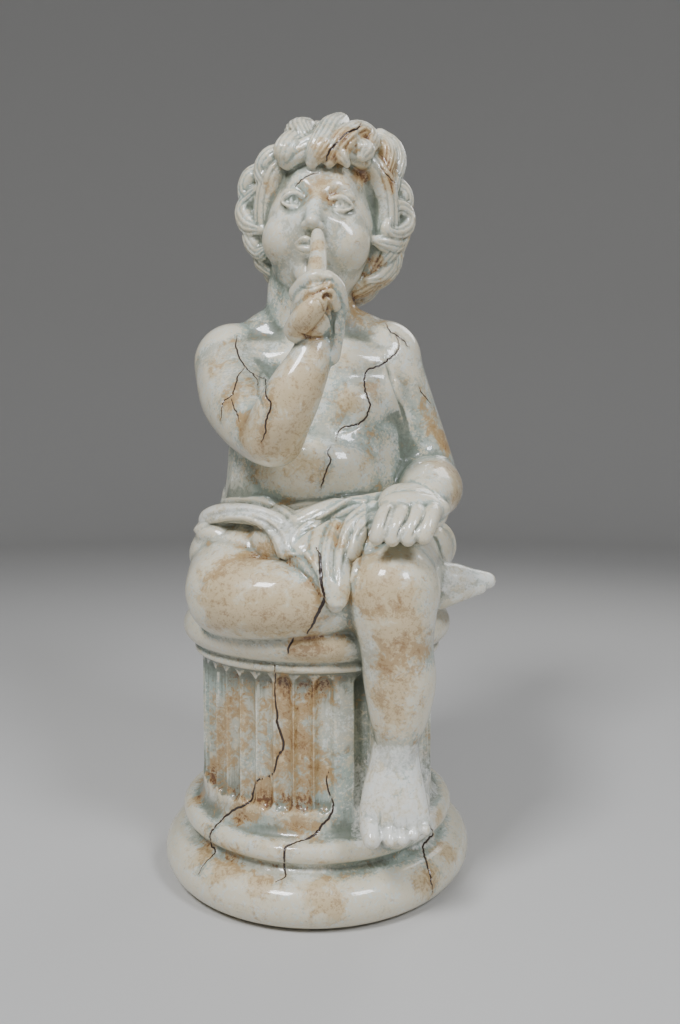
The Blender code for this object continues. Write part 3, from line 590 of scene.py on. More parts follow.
def line(start, end, gap):
    count = max(1, round(math.dist(start, end) / gap))
    return [tuple(s + (e - s) * i / count for s, e in zip(start, end)) for i in range(count)]


def columnProfile():
    c = column
    shaft, upperTop = c["shaftRadius"], c["shaftBottom"] - 6
    capBottom = c["shaftTop"] + c["neckRing"]
    upperBottom = c["baseRing"] + c["scotia"]
    neck, waist = shaft + c["neckOut"], shaft + c["scotiaOut"]
    halfCap, halfUpper, halfBase = c["cap"] / 2, c["upperRing"] / 2, c["baseRing"] / 2
    return [
        *line((0, seatZ - c["dish"]), (shaft - 4, seatZ), 12),
        *arc(shaft + c["capOut"] - halfCap, capBottom + halfCap, halfCap, 95, -62, 24),
        (neck - 2.5, capBottom),
        *arc(neck - 3.5, c["shaftTop"] + 4, 3.5, 60, -60, 7),
        (shaft + 0.6, c["shaftTop"] - 1),
        *line((shaft, c["shaftTop"] - 2.5), (shaft, c["shaftBottom"] + 3), 1.5),
        (shaft, c["shaftBottom"] + 3),
        (shaft + 1.2, c["shaftBottom"] - 2),
        (shaft + 4, upperTop),
        *arc(shaft + c["upperOut"] - halfUpper, upperBottom + halfUpper, halfUpper, 68, -68, 16),
        (waist + 0.6, upperBottom - 1),
        (waist, c["baseRing"] + 0.45 * c["scotia"]),
        (waist + 3, c["baseRing"] + 1),
        *arc(shaft + c["baseOut"] - halfBase, halfBase, halfBase, 72, -74, 26),
        *line((shaft + c["baseOut"] - halfBase, 0), (0, 0), 12),
        (0, 0),
    ]


def pressFlute(bm, depth, roundness):
    # presses one flute into a wedge of the drum whose middle faces -Y
    c = column
    low, high = c["shaftBottom"] + c["fluteLow"], c["shaftTop"] - c["fluteHigh"]
    half = math.pi / c["flutes"] * c["fluteShare"] * c["shaftRadius"]
    for v in bm.verts:
        if not low < v.co.z < high or abs(math.hypot(v.co.x, v.co.y) - c["shaftRadius"]) > 1:
            continue
        ending = max(low + half - v.co.z, v.co.z - high + half, 0)
        out = math.hypot(v.co.x, ending) / half
        if out < 1:
            share = 1 - depth * (1 - out**2) ** roundness / c["shaftRadius"]
            v.co.x *= share
            v.co.y *= share


def columnForms(bm):
    c = column
    pitch = 2 * math.pi / c["flutes"]
    plain = bmesh.new()
    aside, forward = math.sin(pitch / 2), -math.cos(pitch / 2)
    points = [plain.verts.new((r * aside, r * forward, z)) for r, z in columnProfile()]
    for upper, lower in zip(points, points[1:]):
        plain.edges.new((upper, lower))
    bmesh.ops.spin(plain, geom=plain.verts[:] + plain.edges[:], axis=(0, 0, 1), angle=-pitch,
                   steps=c["steps"])
    fluted, channel = plain.copy(), plain.copy()
    pressFlute(fluted, c["fluteDepth"], c["fluteRound"])
    pressFlute(channel, c["channelDepth"], c["channelRound"])
    # beside the leg one flute is left out, and the next is a deep channel
    kinds = {c["strip"]: plain, c["strip"] + 1: channel}
    drum = bmesh.new()
    for i in range(c["flutes"]):
        turned = kinds.get(i, fluted).copy()
        bmesh.ops.rotate(turned, verts=turned.verts, matrix=Matrix.Rotation((i + 0.5) * pitch, 3, "Z"))
        joinInto(drum, turned)
    for wedge in (plain, fluted, channel):
        wedge.free()
    bmesh.ops.remove_doubles(drum, verts=drum.verts, dist=0.01)
    bmesh.ops.recalc_face_normals(drum, faces=drum.faces)
    bmesh.ops.translate(drum, vec=(0, 0, -seatZ), verts=drum.verts)
    joinInto(bm, drum)
    # the web that joins the leg to the shaft
    footZ = c["shaftBottom"] - 3 - seatZ
    loft(bm, [(68, -94, footZ, 22, 26), (66, -92, footZ + 40, 19, 24), (66, -92, -90, 19, 24),
              (68, -90, -45, 22, 24)], steps=4, sides=20)


# Carving on the finished skin

def pushSkin(points, place, centre, reach, move):
    middle = np.array(place @ Vector(centre))
    near = np.linalg.norm(points - middle, axis=1) / reach
    points += (np.clip(1 - near**2, 0, None) ** 2)[:, None] * np.array(place.to_3x3() @ Vector(move))


def pointsOf(mesh):
    points = np.empty(3 * len(mesh.vertices), dtype=np.float32)
    mesh.vertices.foreach_get("co", points)
    return points.reshape(-1, 3)


def softHollows(mesh):
    points = pointsOf(mesh)
    for side in (-1, 1):
        pushSkin(points, headPlace, (20.5 * side, -66, 0), 20, (0, 9, 0))
        pushSkin(points, headPlace, (22 * side, -62, 15), 20, (0, -2.5, 0))
        pushSkin(points, headPlace, (12 * side, -72, -33), 9, (0, 1.5, 0))
    pushSkin(points, headPlace, (0, -70, -56), 9, (0, 3, 0))
    pushSkin(points, Matrix(), (0, -86, 104), 9, (0, 7, 0))
    mesh.vertices.foreach_set("co", points.ravel())


report("modelling the body")
body = bmesh.new()
for build in (torso, raisedArm, restingArm, hangingLeg, foldedLeg, skull):
    build(body)
bodyMesh = skinned(body, skin["bodyVoxel"], skin["bodyPasses"], "body")
softHollows(bodyMesh)
report("modelling the cloth, hands, feet and hair")
wrap = bmesh.new()
cloth(wrap)
clothMesh = skinned(wrap, skin["clothVoxel"], skin["clothPasses"], "cloth")
whole = bmesh.new()
for build in (fist, restingHand, hangingFoot, foldedToes, faceDetail, allHair, columnForms):
    build(whole)
whole.from_mesh(bodyMesh)
whole.from_mesh(clothMesh)
report("skinning the casting")
statueMesh = skinned(whole, skin["voxel"], skin["passes"], "cherub_cast")


def outerShell(mesh):
    # the skin alone, without the hollows that the skinning leaves between buried forms
    bm = bmesh.new()
    bm.from_mesh(mesh)
    seen = set()
    shells = []
    for first in bm.verts:
        if first in seen:
            continue
        seen.add(first)
        shell, front = [first], [first]
        while front:
            grown = [e.other_vert(v) for v in front for e in v.link_edges]
            front = []
            for v in grown:
                if v not in seen:
                    seen.add(v)
                    front.append(v)
            shell += front
        shells.append(shell)
    keep = max(shells, key=len)
    for shell in shells:
        if shell is not keep:
            bmesh.ops.delete(bm, geom=shell, context="VERTS")
    bm.to_mesh(mesh)
    bm.free()
    return len(shells)


report(f"skinned with {len(statueMesh.vertices)} points")
report(f"shells found: {outerShell(statueMesh)}, points left: {len(statueMesh.vertices)}")
statueMesh.transform(toMetres)
cherub = bpy.data.objects.new("cherub_cast", statueMesh)
bpy.context.scene.collection.objects.link(cherub)


# Strokes: routes through the photograph's pixels that land on the skin, each with a half width and a
# height in mm

strokes = {
    "waist roll": (3.5, 2.2, [(199, 513), (207, 505), (225, 500), (247, 499), (264, 502), (281, 509),
                              (296, 520)]),
    "roll groove": (2.6, -2.6, [(204, 518), (216, 514), (230, 511), (244, 510), (262, 513), (284, 524)]),
    "hem roll": (2.4, 1.2, [
        (190, 545), (194, 535), (201, 527), (213, 521), (228, 518), (244, 518), (258, 523), (269, 532),
        (277, 543), (282, 554), (290, 554), (299, 552), (308, 554), (315, 563), (321, 574), (325, 588),
    ]),
    "thigh fold": (2.4, -1.6, [(206, 523), (222, 515), (242, 514), (262, 520), (276, 531), (284, 546)]),
    "second fold": (2.2, 1.4, [(246, 515), (262, 518), (276, 526), (286, 538), (290, 548)]),
    "tuck left": (2.6, 2.4, [(292, 538), (303, 527), (318, 518), (333, 509), (348, 500), (362, 496)]),
    "tuck inner": (2.4, -2.2, [(294, 542), (306, 531), (320, 523), (334, 514), (348, 506), (360, 502)]),
    "tuck knot": (2.4, -2.0, [(289, 531), (288, 541), (293, 551), (303, 552), (309, 545)]),
    "fall one": (2.4, -2.6, [(330, 520), (324, 534), (320, 550), (320, 566), (322, 580)]),
    "fall ridge": (2.6, 2.2, [(337, 521), (331, 536), (328, 552), (327, 568), (329, 584)]),
    "fall two": (2.2, -2.4, [(344, 520), (338, 534), (335, 550), (334, 566), (335, 582)]),
    "fall three": (2.2, 1.8, [(351, 519), (345, 534), (341, 550), (339, 566), (339, 578)]),
    "fall four": (2.2, -2.2, [(356, 522), (350, 536), (346, 550), (343, 564)]),
    "short fold": (2.0, -1.8, [(313, 529), (309, 540), (310, 552), (314, 562)]),
    "hand fold one": (2.0, -1.8, [(368, 507), (356, 514), (345, 523)]),
    "hand fold two": (2.0, 1.6, [(371, 513), (360, 521), (351, 531)]),
    "hand fold three": (1.9, -1.7, [(372, 521), (363, 529), (356, 540)]),
    "finger gap one": (1.5, -2.6, [(391, 507), (388, 517), (384, 529)]),
    "finger gap two": (1.5, -2.8, [(411, 503), (407, 517), (401, 528), (397, 538)]),
    "finger gap three": (1.5, -2.6, [(425, 512), (421, 521), (416, 530), (412, 537)]),
    "wrist crease": (1.8, -1.3, [(410, 480), (424, 485), (435, 493), (442, 503)]),
    "toe gap one": (1.4, -1.6, [(380, 812), (380, 824), (380, 836)]),
    "toe gap two": (1.2, -1.3, [(394, 813), (394, 825), (393, 836)]),
    "toe gap three": (1.2, -1.1, [(407, 818), (407, 826), (406, 833)]),
    "toe gap four": (1.1, -1.0, [(417, 815), (418, 821), (418, 827)]),
    "raised wrist": (2.0, -1.6, [(299, 333), (308, 337), (318, 338), (329, 337)]),
    "elbow crease": (2.2, -1.6, [(262, 372), (259, 384), (259, 396), (263, 408)]),
    "breast left": (4.0, -1.2, [(338, 432), (352, 428), (365, 420), (371, 410)]),
    "armpit": (3.0, -2.2, [(384, 355), (389, 372), (396, 392), (403, 412), (408, 432)]),
    "fist groove one": (1.5, -1.5, [(300, 287), (308, 288), (317, 285), (326, 280), (333, 281), (338, 287)]),
    "fist groove two": (1.5, -1.5, [(307, 295), (315, 293), (324, 289), (331, 287), (336, 291), (338, 298)]),
    "fist hollow": (3.6, -3.5, [(324, 297), (328, 296), (331, 297)]),
    "thumb edge": (1.7, -1.8, [(314, 300), (319, 300), (323, 305), (325, 311), (330, 318), (332, 328)]),
    "far edge": (1.8, -1.8, [(331, 306), (333, 315), (333, 326), (333, 338)]),
}
folding = {"step": 0.7, "gap": 1.0, "hemHeight": 2.4, "hemSoft": 1.6, "front": -20, "low": 250, "high": 360}
# The cloth on the folded thigh: its hem is the lower side of this outline, in pixels
hemCloth = [
    (187, 549), (189, 538), (199, 529), (213, 523), (228, 520), (244, 520), (258, 525), (268, 534),
    (275, 545), (279, 556), (285, 559), (296, 555), (305, 556), (312, 565), (318, 576), (322, 592),
    (331, 607), (343, 607), (350, 592), (366, 540), (366, 500), (330, 500), (296, 512), (264, 496),
    (207, 498), (186, 508), (178, 530),
]


def alongRoute(route, gap):
    # a smooth run of pixels through the route's own ones
    rows = [Vector((*p, 0)) for p in route]
    ends = [2 * rows[0] - rows[1], *rows, 2 * rows[-1] - rows[-2]]
    found = []
    for i in range(len(rows) - 1):
        count = max(1, round((rows[i + 1] - rows[i]).length / gap))
        found += [between(*ends[i:i + 4], k / count) for k in range(count)]
    return found + [rows[-1]]


def onSkin(tree, pixels):
    # where those pixels land on the statue, in metres
    start = Vector(camera["place"])
    hits = [tree.ray_cast(start, alongPixel(p[0], p[1]))[0] for p in pixels]
    return [h for h in hits if h is not None]


def vertexTree(points):
    tree = KDTree(len(points))
    for i, p in enumerate(points):
        tree.insert(p, i)
    tree.balance()
    return tree


def closer(route, gap):
    # the same route with points no further apart than the gap
    found = []
    for a, b in zip(route, route[1:]):
        count = max(1, math.ceil((b - a).length / gap))
        found += [a.lerp(b, k / count) for k in range(count)]
    return found + [route[-1]]


def pressed(points, normals, tree, route, halfWidth, height):
    # moves what lies near the route along its normal; the ends of the route fade out
    nearest = {}
    last = max(1, len(route) - 1)
    for i, p in enumerate(route):
        fade = min(1, 0.25 + 4 * min(i, last - i) / last)
        for _, index, gap in tree.find_range(p, halfWidth):
            share = fade * (1 - (gap / halfWidth) ** 2) ** 2
            if share > nearest.get(index, 0):
                nearest[index] = share
    if nearest:
        index = np.fromiter(nearest, int)
        share = np.fromiter(nearest.values(), float)
        points[index] += normals[index] * (share * height)[:, None]


def normalsOf(mesh):
    normals = np.empty(3 * len(mesh.vertices), dtype=np.float32)
    mesh.vertices.foreach_get("normal", normals)
    return normals.reshape(-1, 3)


def pixelsOf(points):
    # the pixel of the photograph that each point falls on
    wide, high = camera["frame"]
    away = points - np.array(camera["place"])
    depth, rise = away @ np.array(ahead), away @ np.array(above)
    return np.stack([wide / 2 + focal * away[:, 0] / depth, high / 2 - focal * rise / depth], axis=1)


def insideBy(pixels, outline):
    # how far each pixel lies inside an outline, below 0 outside
    gap = np.full(len(pixels), 1e9)
    inside = np.zeros(len(pixels), dtype=bool)
    for (x0, y0), (x1, y1) in zip(outline, outline[1:] + outline[:1]):
        run = np.array((x1 - x0, y1 - y0), dtype=float)
        away = pixels - (x0, y0)
        along = np.clip(away @ run / (run @ run), 0, 1)
        gap = np.minimum(gap, np.linalg.norm(away - along[:, None] * run, axis=1))
        if y0 != y1:
            crossing = x0 + (pixels[:, 1] - y0) * (x1 - x0) / (y1 - y0)
            inside ^= ((pixels[:, 1] > y0) != (pixels[:, 1] > y1)) & (pixels[:, 0] < crossing)
    return np.where(inside, gap, -gap)


def raiseCloth(points, normals):
    # lifts what the camera sees inside the cloth's outline, so that its hem stands off the skin
    facing = (normals * (points - np.array(camera["place"]))).sum(axis=1) < 0
    level = (points[:, 2] > folding["low"] / 1000) & (points[:, 2] < folding["high"] / 1000)
    seen = np.flatnonzero(facing & level & (points[:, 1] < folding["front"] / 1000))
    share = np.clip(insideBy(pixelsOf(points[seen]), hemCloth) / folding["hemSoft"] + 0.5, 0, 1)
    points[seen] += normals[seen] * (share * folding["hemHeight"] / 1000)[:, None]


def carve(mesh):
    points, normals = pointsOf(mesh), normalsOf(mesh)
    raiseCloth(points, normals)
    tree = vertexTree(points)
    skinTree = BVHTree.FromPolygons([tuple(p) for p in points], [tuple(p.vertices) for p in mesh.polygons])
    for halfWidth, height, route in strokes.values():
        pressed(points, normals, tree, onSkin(skinTree, alongRoute(route, folding["step"])),
                halfWidth / 1000, height / 1000)
    for route in strands:
        pressed(points, normals, tree, closer([toMetres @ p for p in route], folding["gap"] / 1000),
                hair["strandReach"] / 1000, -hair["strandDepth"] / 1000)
    for route in irisRoutes():
        pressed(points, normals, tree, closer([toMetres @ p for p in route], folding["gap"] / 1000),
                eyes["irisReach"] / 1000, -eyes["irisDepth"] / 1000)
    for side in (-1, 1):
        pupil = eyeAt(side) - Vector((0, eyes["radius"], 0))
        pushSkin(points, toMetres @ headPlace, pupil, eyes["pupil"] / 1000, (0, eyes["pupilDepth"], 0))
    mesh.vertices.foreach_set("co", points.ravel())
    mesh.update()


carve(statueMesh)
report("carved")


def thinned(obj, triangles):
    obj.data.calc_loop_triangles()
    slim = obj.modifiers.new("thin", "DECIMATE")
    slim.ratio = min(1, triangles / len(obj.data.loop_triangles))
    slim.use_collapse_triangulate = True
    done = bpy.data.meshes.new_from_object(obj.evaluated_get(bpy.context.evaluated_depsgraph_get()))
    obj.modifiers.clear()
    obj.data = done


thinned(cherub, budget["triangles"])
report(f"thinned to {len(cherub.data.polygons)} triangles")

# Cracks: routes through the photograph's pixels, with the half width of the opening in mm
cracks = {
    "chest": (0.7, [(386, 323), (390, 331), (396, 335), (404, 341), (409, 347)]),
    "breast": (0.75, [
        (396, 335), (399, 346), (396, 353), (381, 365), (368, 370), (364, 379), (366, 393), (370, 404),
        (367, 415), (360, 423), (343, 428), (338, 433), (336, 442),
    ]),
    "belly": (0.6, [(330, 446), (328, 453), (331, 460), (327, 468), (323, 481), (321, 489)]),
    "upper arm": (0.75, [
        (237, 336), (236, 345), (239, 356), (245, 366), (251, 372), (258, 381), (257, 387),
    ]),
    "arm fork": (0.65, [
        (245, 367), (238, 376), (235, 387), (231, 396), (223, 402), (221, 414), (221, 421),
    ]),
    "arm twig": (0.5, [(231, 398), (233, 406), (237, 414), (239, 422)]),
    "forearm": (0.7, [
        (251, 372), (262, 378), (266, 379), (265, 395), (270, 402), (269, 412), (266, 421), (265, 433),
        (261, 443),
    ]),
    "right arm": (0.5, [(419, 387), (425, 397), (432, 404)]),
    "lap": (1.3, [
        (316, 547), (320, 556), (321, 580), (324, 598), (321, 607), (316, 618), (312, 627), (307, 634),
    ]),
    "cap": (0.8, [(294, 638), (289, 647), (288, 654)]),
    "shaft": (0.9, [
        (275, 665), (275, 681), (276, 703), (278, 717), (277, 723), (282, 737), (283, 748), (277, 759),
        (272, 775), (257, 781), (253, 792), (250, 802), (234, 810), (221, 820), (211, 832), (211, 844),
        (215, 852), (205, 863), (198, 874),
    ]),
    "base": (0.9, [
        (329, 770), (326, 781), (330, 796), (333, 804), (331, 815), (324, 823), (314, 835), (297, 842),
        (286, 847), (284, 863), (285, 876), (275, 882),
    ]),
    "base right": (0.8, [(429, 824), (433, 834), (427, 840), (423, 850), (430, 874), (433, 893)]),
    "hair": (0.9, [(362, 122), (358, 128), (345, 134), (338, 141), (333, 147), (328, 154), (326, 162)]),
    "brow": (0.5, [(295, 187), (300, 181), (309, 175), (319, 173)]),
    "temple": (0.5, [(380, 166), (387, 175), (396, 184)]),
}
# kink, wander: pixels; mouth: how far the slope of the crack runs in; the rest in mm
cracking = {"seed": 21, "kink": 2.2, "wander": 0.6, "between": 6, "lip": 0.8, "mouth": 1.1, "depth": 0.8,
            "reach": 12.0, "band": 1.2, "edge": 0.95, "rounds": 5}


def crackPoints(tree, wide):
    # every crack as close points on the skin, with its own half width in metres
    dice = random.Random(cracking["seed"])
    points, widths = [], []
    for halfWidth, route in wide:
        pixels = [p + Vector((dice.uniform(-1, 1), dice.uniform(-1, 1), 0)) * cracking["wander"]
                  for p in alongRoute(route, cracking["kink"])]
        steps = cracking["between"]
        pairs = zip(pixels, pixels[1:])
        run = onSkin(tree, [a + (b - a) * k / steps for a, b in pairs for k in range(steps)])
        for i, p in enumerate(run):
            points.append(p)
            widths.append(halfWidth / 1000 * min(1, 0.35 + 3 * min(i, len(run) - i) / len(run)))
    return points, widths


def crackGaps(points, lines, widths):
    tree = vertexTree(lines)
    gaps = np.full(len(points), cracking["reach"] / 1000)
    for i, p in enumerate(points):
        _, index, gap = tree.find(p)
        gaps[i] = min(gaps[i], gap + cracking["lip"] / 1000 - widths[index])
    return gaps


def splitAlongCracks(mesh, lines, widths):
    for _ in range(cracking["rounds"]):
        gaps = crackGaps(pointsOf(mesh), lines, widths)
        bm = bmesh.new()
        bm.from_mesh(mesh)
        edges = [
            e for e in bm.edges
            if e.calc_length() > cracking["edge"] / 1000
            and min(gaps[v.index] for v in e.verts) < cracking["band"] / 1000 + 0.4 * e.calc_length()
        ]
        bmesh.ops.subdivide_edges(bm, edges=edges, cuts=1)
        bmesh.ops.triangulate(bm, faces=[f for f in bm.faces if len(f.verts) > 3])
        bm.to_mesh(mesh)
        bm.free()
    return crackGaps(pointsOf(mesh), lines, widths)


mesh = cherub.data
faces = [tuple(p.vertices) for p in mesh.polygons]
skinTree = BVHTree.FromPolygons([tuple(p) for p in pointsOf(mesh)], faces)
crackLines, crackWidths = crackPoints(skinTree, cracks.values())
gaps = splitAlongCracks(mesh, crackLines, crackWidths)
points, normals = pointsOf(mesh), normalsOf(mesh)
mouth = cracking["mouth"] / 1000
inside = np.clip(1 - (gaps / mouth) ** 2, 0, 1) * (gaps < mouth)
points -= normals * (inside * cracking["depth"] / 1000)[:, None]
mesh.vertices.foreach_set("co", points.ravel())
mesh.update()
report(f"cracked, {len(mesh.polygons)} triangles")


def pointAttribute(mesh, name, values):
    layer = mesh.attributes.new(name, "FLOAT", "POINT")
    layer.data.foreach_set("value", values.astype(np.float32))


def hollowness(mesh, passes):
    # how far each point lies under the average of what surrounds it, in mm
    points = pointsOf(mesh).astype(float)
    pairs = np.empty(2 * len(mesh.edges), dtype=np.int32)
    mesh.edges.foreach_get("vertices", pairs)
    pairs = pairs.reshape(-1, 2)
    a, b = pairs[:, 0], pairs[:, 1]
    count = np.bincount(pairs.ravel(), minlength=len(points))[:, None]
    smooth = points.copy()
    for _ in range(passes):
        total = np.stack([
            np.bincount(a, smooth[b, k], len(points)) + np.bincount(b, smooth[a, k], len(points))
            for k in range(3)
        ], axis=1)
        smooth = 0.5 * smooth + 0.5 * total / count
    return 1000 * ((smooth - points) * normalsOf(mesh)).sum(axis=1)


# Ochre stain: pixel, radius in mm and strength
stains = {
    "folded knee": [(225, 575, 24, 0.9), (250, 560, 22, 0.8), (262, 598, 26, 0.9), (300, 600, 20, 0.7),
                    (290, 565, 12, 0.6), (215, 600, 18, 1.0), (240, 540, 16, 0.5), (262, 618, 22, 1.1),
                    (225, 612, 18, 1.1), (298, 620, 18, 1.0)],
    "hanging knee": [(385, 580, 26, 0.8), (372, 600, 18, 0.9), (398, 600, 18, 0.9), (366, 560, 16, 0.6)],
    "calf": [(396, 645, 20, 1.0), (388, 668, 18, 0.9), (405, 686, 18, 0.85), (380, 694, 14, 0.7),
             (418, 655, 14, 0.7), (395, 712, 18, 0.75), (384, 728, 14, 0.6), (408, 620, 16, 0.8)],
    "resting arm": [(452, 470, 22, 1.0), (445, 440, 18, 0.7), (458, 495, 16, 1.0), (432, 420, 14, 0.6),
                    (420, 395, 12, 0.5), (452, 520, 16, 0.7), (458, 540, 16, 0.8)],
    "raised elbow": [(275, 430, 24, 0.8), (290, 450, 20, 0.7), (295, 400, 18, 0.6), (305, 375, 16, 0.8),
                     (312, 350, 12, 0.8), (245, 425, 18, 0.7), (228, 400, 16, 0.6), (285, 425, 20, 0.9),
                     (225, 350, 14, 0.4), (298, 422, 20, 0.95), (288, 402, 18, 0.9), (308, 395, 14, 0.9),
                     (265, 446, 18, 0.8), (302, 378, 18, 0.85), (215, 366, 18, 0.55), (240, 388, 18, 0.55)],
    "belly": [(300, 470, 26, 0.5), (262, 470, 20, 0.45), (370, 462, 20, 0.4), (345, 360, 14, 0.4)],
    "raised hand": [(312, 315, 18, 1.0), (305, 330, 14, 1.1), (318, 262, 9, 0.9), (318, 245, 8, 0.8),
                    (325, 292, 9, 0.9), (318, 280, 8, 0.5)],
    "brow": [(318, 185, 18, 0.6), (340, 180, 14, 0.5), (362, 178, 12, 0.5), (330, 195, 12, 0.5)],
    "hair": [(322, 150, 14, 0.6), (345, 140, 14, 0.9), (335, 158, 8, 1.0), (365, 135, 10, 0.8),
             (392, 165, 12, 0.9), (392, 184, 8, 1.2), (386, 150, 8, 0.8), (376, 262, 8, 1.1),
             (300, 150, 8, 0.4), (268, 186, 8, 0.4)],
    "breast": [(352, 400, 16, 0.6), (372, 390, 12, 0.5), (362, 420, 10, 0.5)],
    "lap cloth": [(318, 540, 14, 0.5), (310, 560, 10, 0.6), (345, 545, 10, 0.4), (340, 525, 9, 0.5)],
    "shaft": [(222, 720, 24, 0.6), (212, 775, 20, 0.6), (262, 790, 22, 0.75), (296, 795, 18, 0.8),
              (235, 700, 26, 0.6), (285, 700, 24, 0.85), (300, 740, 24, 0.85), (275, 760, 22, 0.8),
              (312, 700, 18, 0.8), (225, 760, 22, 0.6), (315, 780, 18, 0.75), (245, 730, 18, 0.6),
              (425, 730, 12, 0.75), (215, 690, 14, 0.5)],
    "cap": [(315, 650, 14, 1.4), (300, 650, 12, 1.3), (332, 653, 12, 1.2), (215, 628, 14, 0.6)],
    "base": [(240, 810, 20, 0.7), (300, 820, 16, 0.8), (225, 870, 20, 0.8), (265, 882, 18, 0.7),
             (205, 850, 16, 0.6), (320, 885, 16, 0.6), (330, 905, 16, 0.8), (425, 880, 18, 0.7),
             (445, 850, 16, 0.8), (435, 815, 12, 0.8), (280, 855, 16, 0.5), (195, 800, 12, 0.7)],
}
staining = {"seed": 5, "hidden": 90, "radius": (12, 30), "strength": (0.25, 0.75)}


def stainWeights(mesh, tree):
    points = pointsOf(mesh).astype(float)
    total = np.zeros(len(points))
    blobs = []
    for spots in stains.values():
        for u, v, radius, strength in spots:
            blobs += [(np.array(hit), radius / 1000, strength) for hit in onSkin(tree, [(u, v)])]
    dice = random.Random(staining["seed"])
    while len(blobs) < staining["hidden"] + sum(len(s) for s in stains.values()):
        p = points[dice.randrange(len(points))]
        if p[1] > 0:
            blobs.append((p, dice.uniform(*staining["radius"]) / 1000, dice.uniform(*staining["strength"])))
    for middle, radius, strength in blobs:
        near = ((points - middle) ** 2).sum(axis=1) / radius**2
        total = np.maximum(total, strength * np.exp(-near))
    return total


# The parts that are painted clean white, outlined in pixels, and how softly an outline ends
whiteSoft = 6
whitePaint = {
    "hanging foot": [(352, 743), (436, 743), (440, 800), (436, 850), (350, 850), (350, 790)],
    "folded foot": [(446, 556), (504, 566), (504, 590), (476, 604), (452, 612), (440, 590)],
    "folded thigh cloth": [(192, 536), (206, 522), (228, 518), (250, 519), (268, 531), (280, 552), (300, 548),
                           (300, 528), (264, 500), (205, 503), (188, 520)],
}


def whiteWeights(mesh):
    points, normals = pointsOf(mesh), normalsOf(mesh)
    facing = (normals * (points - np.array(camera["place"]))).sum(axis=1) < 0
    total = np.zeros(len(points))
    pixels = pixelsOf(points)
    for outline in whitePaint.values():
        total = np.maximum(total, np.clip(insideBy(pixels, outline) / whiteSoft + 0.5, 0, 1))
    return total * (facing & (points[:, 1] < 0))


# What the glaze and the painted shade and highlight follow: smoothing passes and the depth in mm that counts
# as full
hollows = {"crease": (6, 0.5), "recess": (60, 3.0)}
for name, (passes, full) in hollows.items():
    pointAttribute(mesh, name, np.clip(hollowness(mesh, passes) / full, -1, 1))
pointAttribute(mesh, "white", whiteWeights(mesh))
pointAttribute(mesh, "crackGap", gaps * 1000)
pointAttribute(mesh, "stain", stainWeights(mesh, skinTree))
mesh.shade_smooth()
report("stained")


# Material

def toLinear(code):
    parts = [int(code[i:i + 2], 16) / 255 for i in (1, 3, 5)]
    return (*[p / 12.92 if p <= 0.04045 else ((p + 0.055) / 1.055) ** 2.4 for p in parts], 1)


def addNode(tree, kind, settings=None, links=None):
    node = tree.nodes.new(kind)
    for name, value in (settings or {}).items():
        if isinstance(name, int) or name in node.inputs:
            node.inputs[name].default_value = value
        else:
            setattr(node, name, value)
    for name, socket in (links or {}).items():
        tree.links.new(socket, node.inputs[name])
    return node


# Faux-marble cast plaster: sealed gypsum, sponged with ochre and umber glaze, then varnished.
# The glaze breaks up into grains of 2 to 4 mm and the clear varnish gives a wet gloss; the darker tone in
# the carving is partly glaze pooled there and partly painted shade, with a painted highlight on raised
# places.
finish = {
    "ground": "#BDBBA8",
    "bumpMm": 0.25,
    "bumpStrength": 0.5,
    "bump": {"sponge": 1.0, "grain": 0.5},
    "dull": {"sponge": 0.14, "grain": 0.08},
    "roughness": 0.34,
    # name: size in mm, detail, roughness, distortion
    "patterns": {
        "broad": (70, 3, 0.5, 0.0),
        "cloud": (22, 5, 0.62, 0.6),
        "sponge": (8, 6, 0.72, 0.8),
        "grain": (2.6, 4, 0.75, 0.0),
    },
    # crease and recess weights darken the hollows and lighten raised places: partly glaze settled in the
    # carving, partly painted shade and painted highlight
    # colour, weights whose sum covers it, the sums where it begins and is full, and its greatest share
    "glazes": {
        "cool": ("#A2AFA4", {"broad": 1.0, "sponge": 0.4}, 0.62, 0.80, 1.0),
        "veil": ("#6A7568", {"cloud": 1.5, "sponge": 2.0, "recess": 0.2}, 1.68, 2.15, 0.66),
        # pale: sponged lighter tone, partly rubbed wear, and its negative crease weight makes it lighter on
        # raised places as a painted highlight
        "pale": ("#E8EBE2", {"sponge": 1.5, "grain": 1.5, "cloud": -1.0, "crease": -0.4}, 1.02, 1.30, 0.72),
        "speck": ("#55554A", {"grain": 2.0, "sponge": 0.5, "crease": 0.3}, 1.50, 1.75, 0.5),
        # hollow: darker green-grey in recesses and creases, partly glaze settled in the carving and partly
        # painted shade
        "hollow": ("#6C7364", {"recess": 1.0, "crease": 0.6, "sponge": 0.8, "stain": -1.0}, 0.60, 1.50, 0.7),
        "ochre": ("#B39260", {"stain": 1.2, "cloud": 2.0, "sponge": 2.0, "grain": 1.0}, 2.72, 3.2, 0.9),
        "cream": ("#E2D0A8", {"grain": 1.6, "sponge": -1.4, "crease": -0.3}, 0.14, 0.40, 0.6),
        "amber": ("#875C29", {"stain": 1.0, "cloud": 1.0, "sponge": 1.5, "grain": 2.0, "crease": 0.3},
                  2.9, 3.3, 0.7),
        "rust": ("#5A3012", {"stain": 1.0, "cloud": 0.8, "sponge": 1.5, "grain": 2.2, "crease": 0.7},
                 3.3, 3.65, 0.8),
        "white": ("#F0F0E8", {"white": 1.0, "sponge": 2.0, "grain": 1.0}, 2.15, 2.75, 0.8),
        "halo": ("#93692F", {"crackGap": -1.0, "sponge": -3.2}, -3.3, -1.9, 0.5),
        "crack": ("#2A150A", {"crackGap": -1.0, "grain": -0.5}, -1.25, -0.95, 1.0),
    },
    "varnish": {"Coat Weight": 0.85, "Coat Roughness": 0.08, "Coat IOR": 1.5},
}


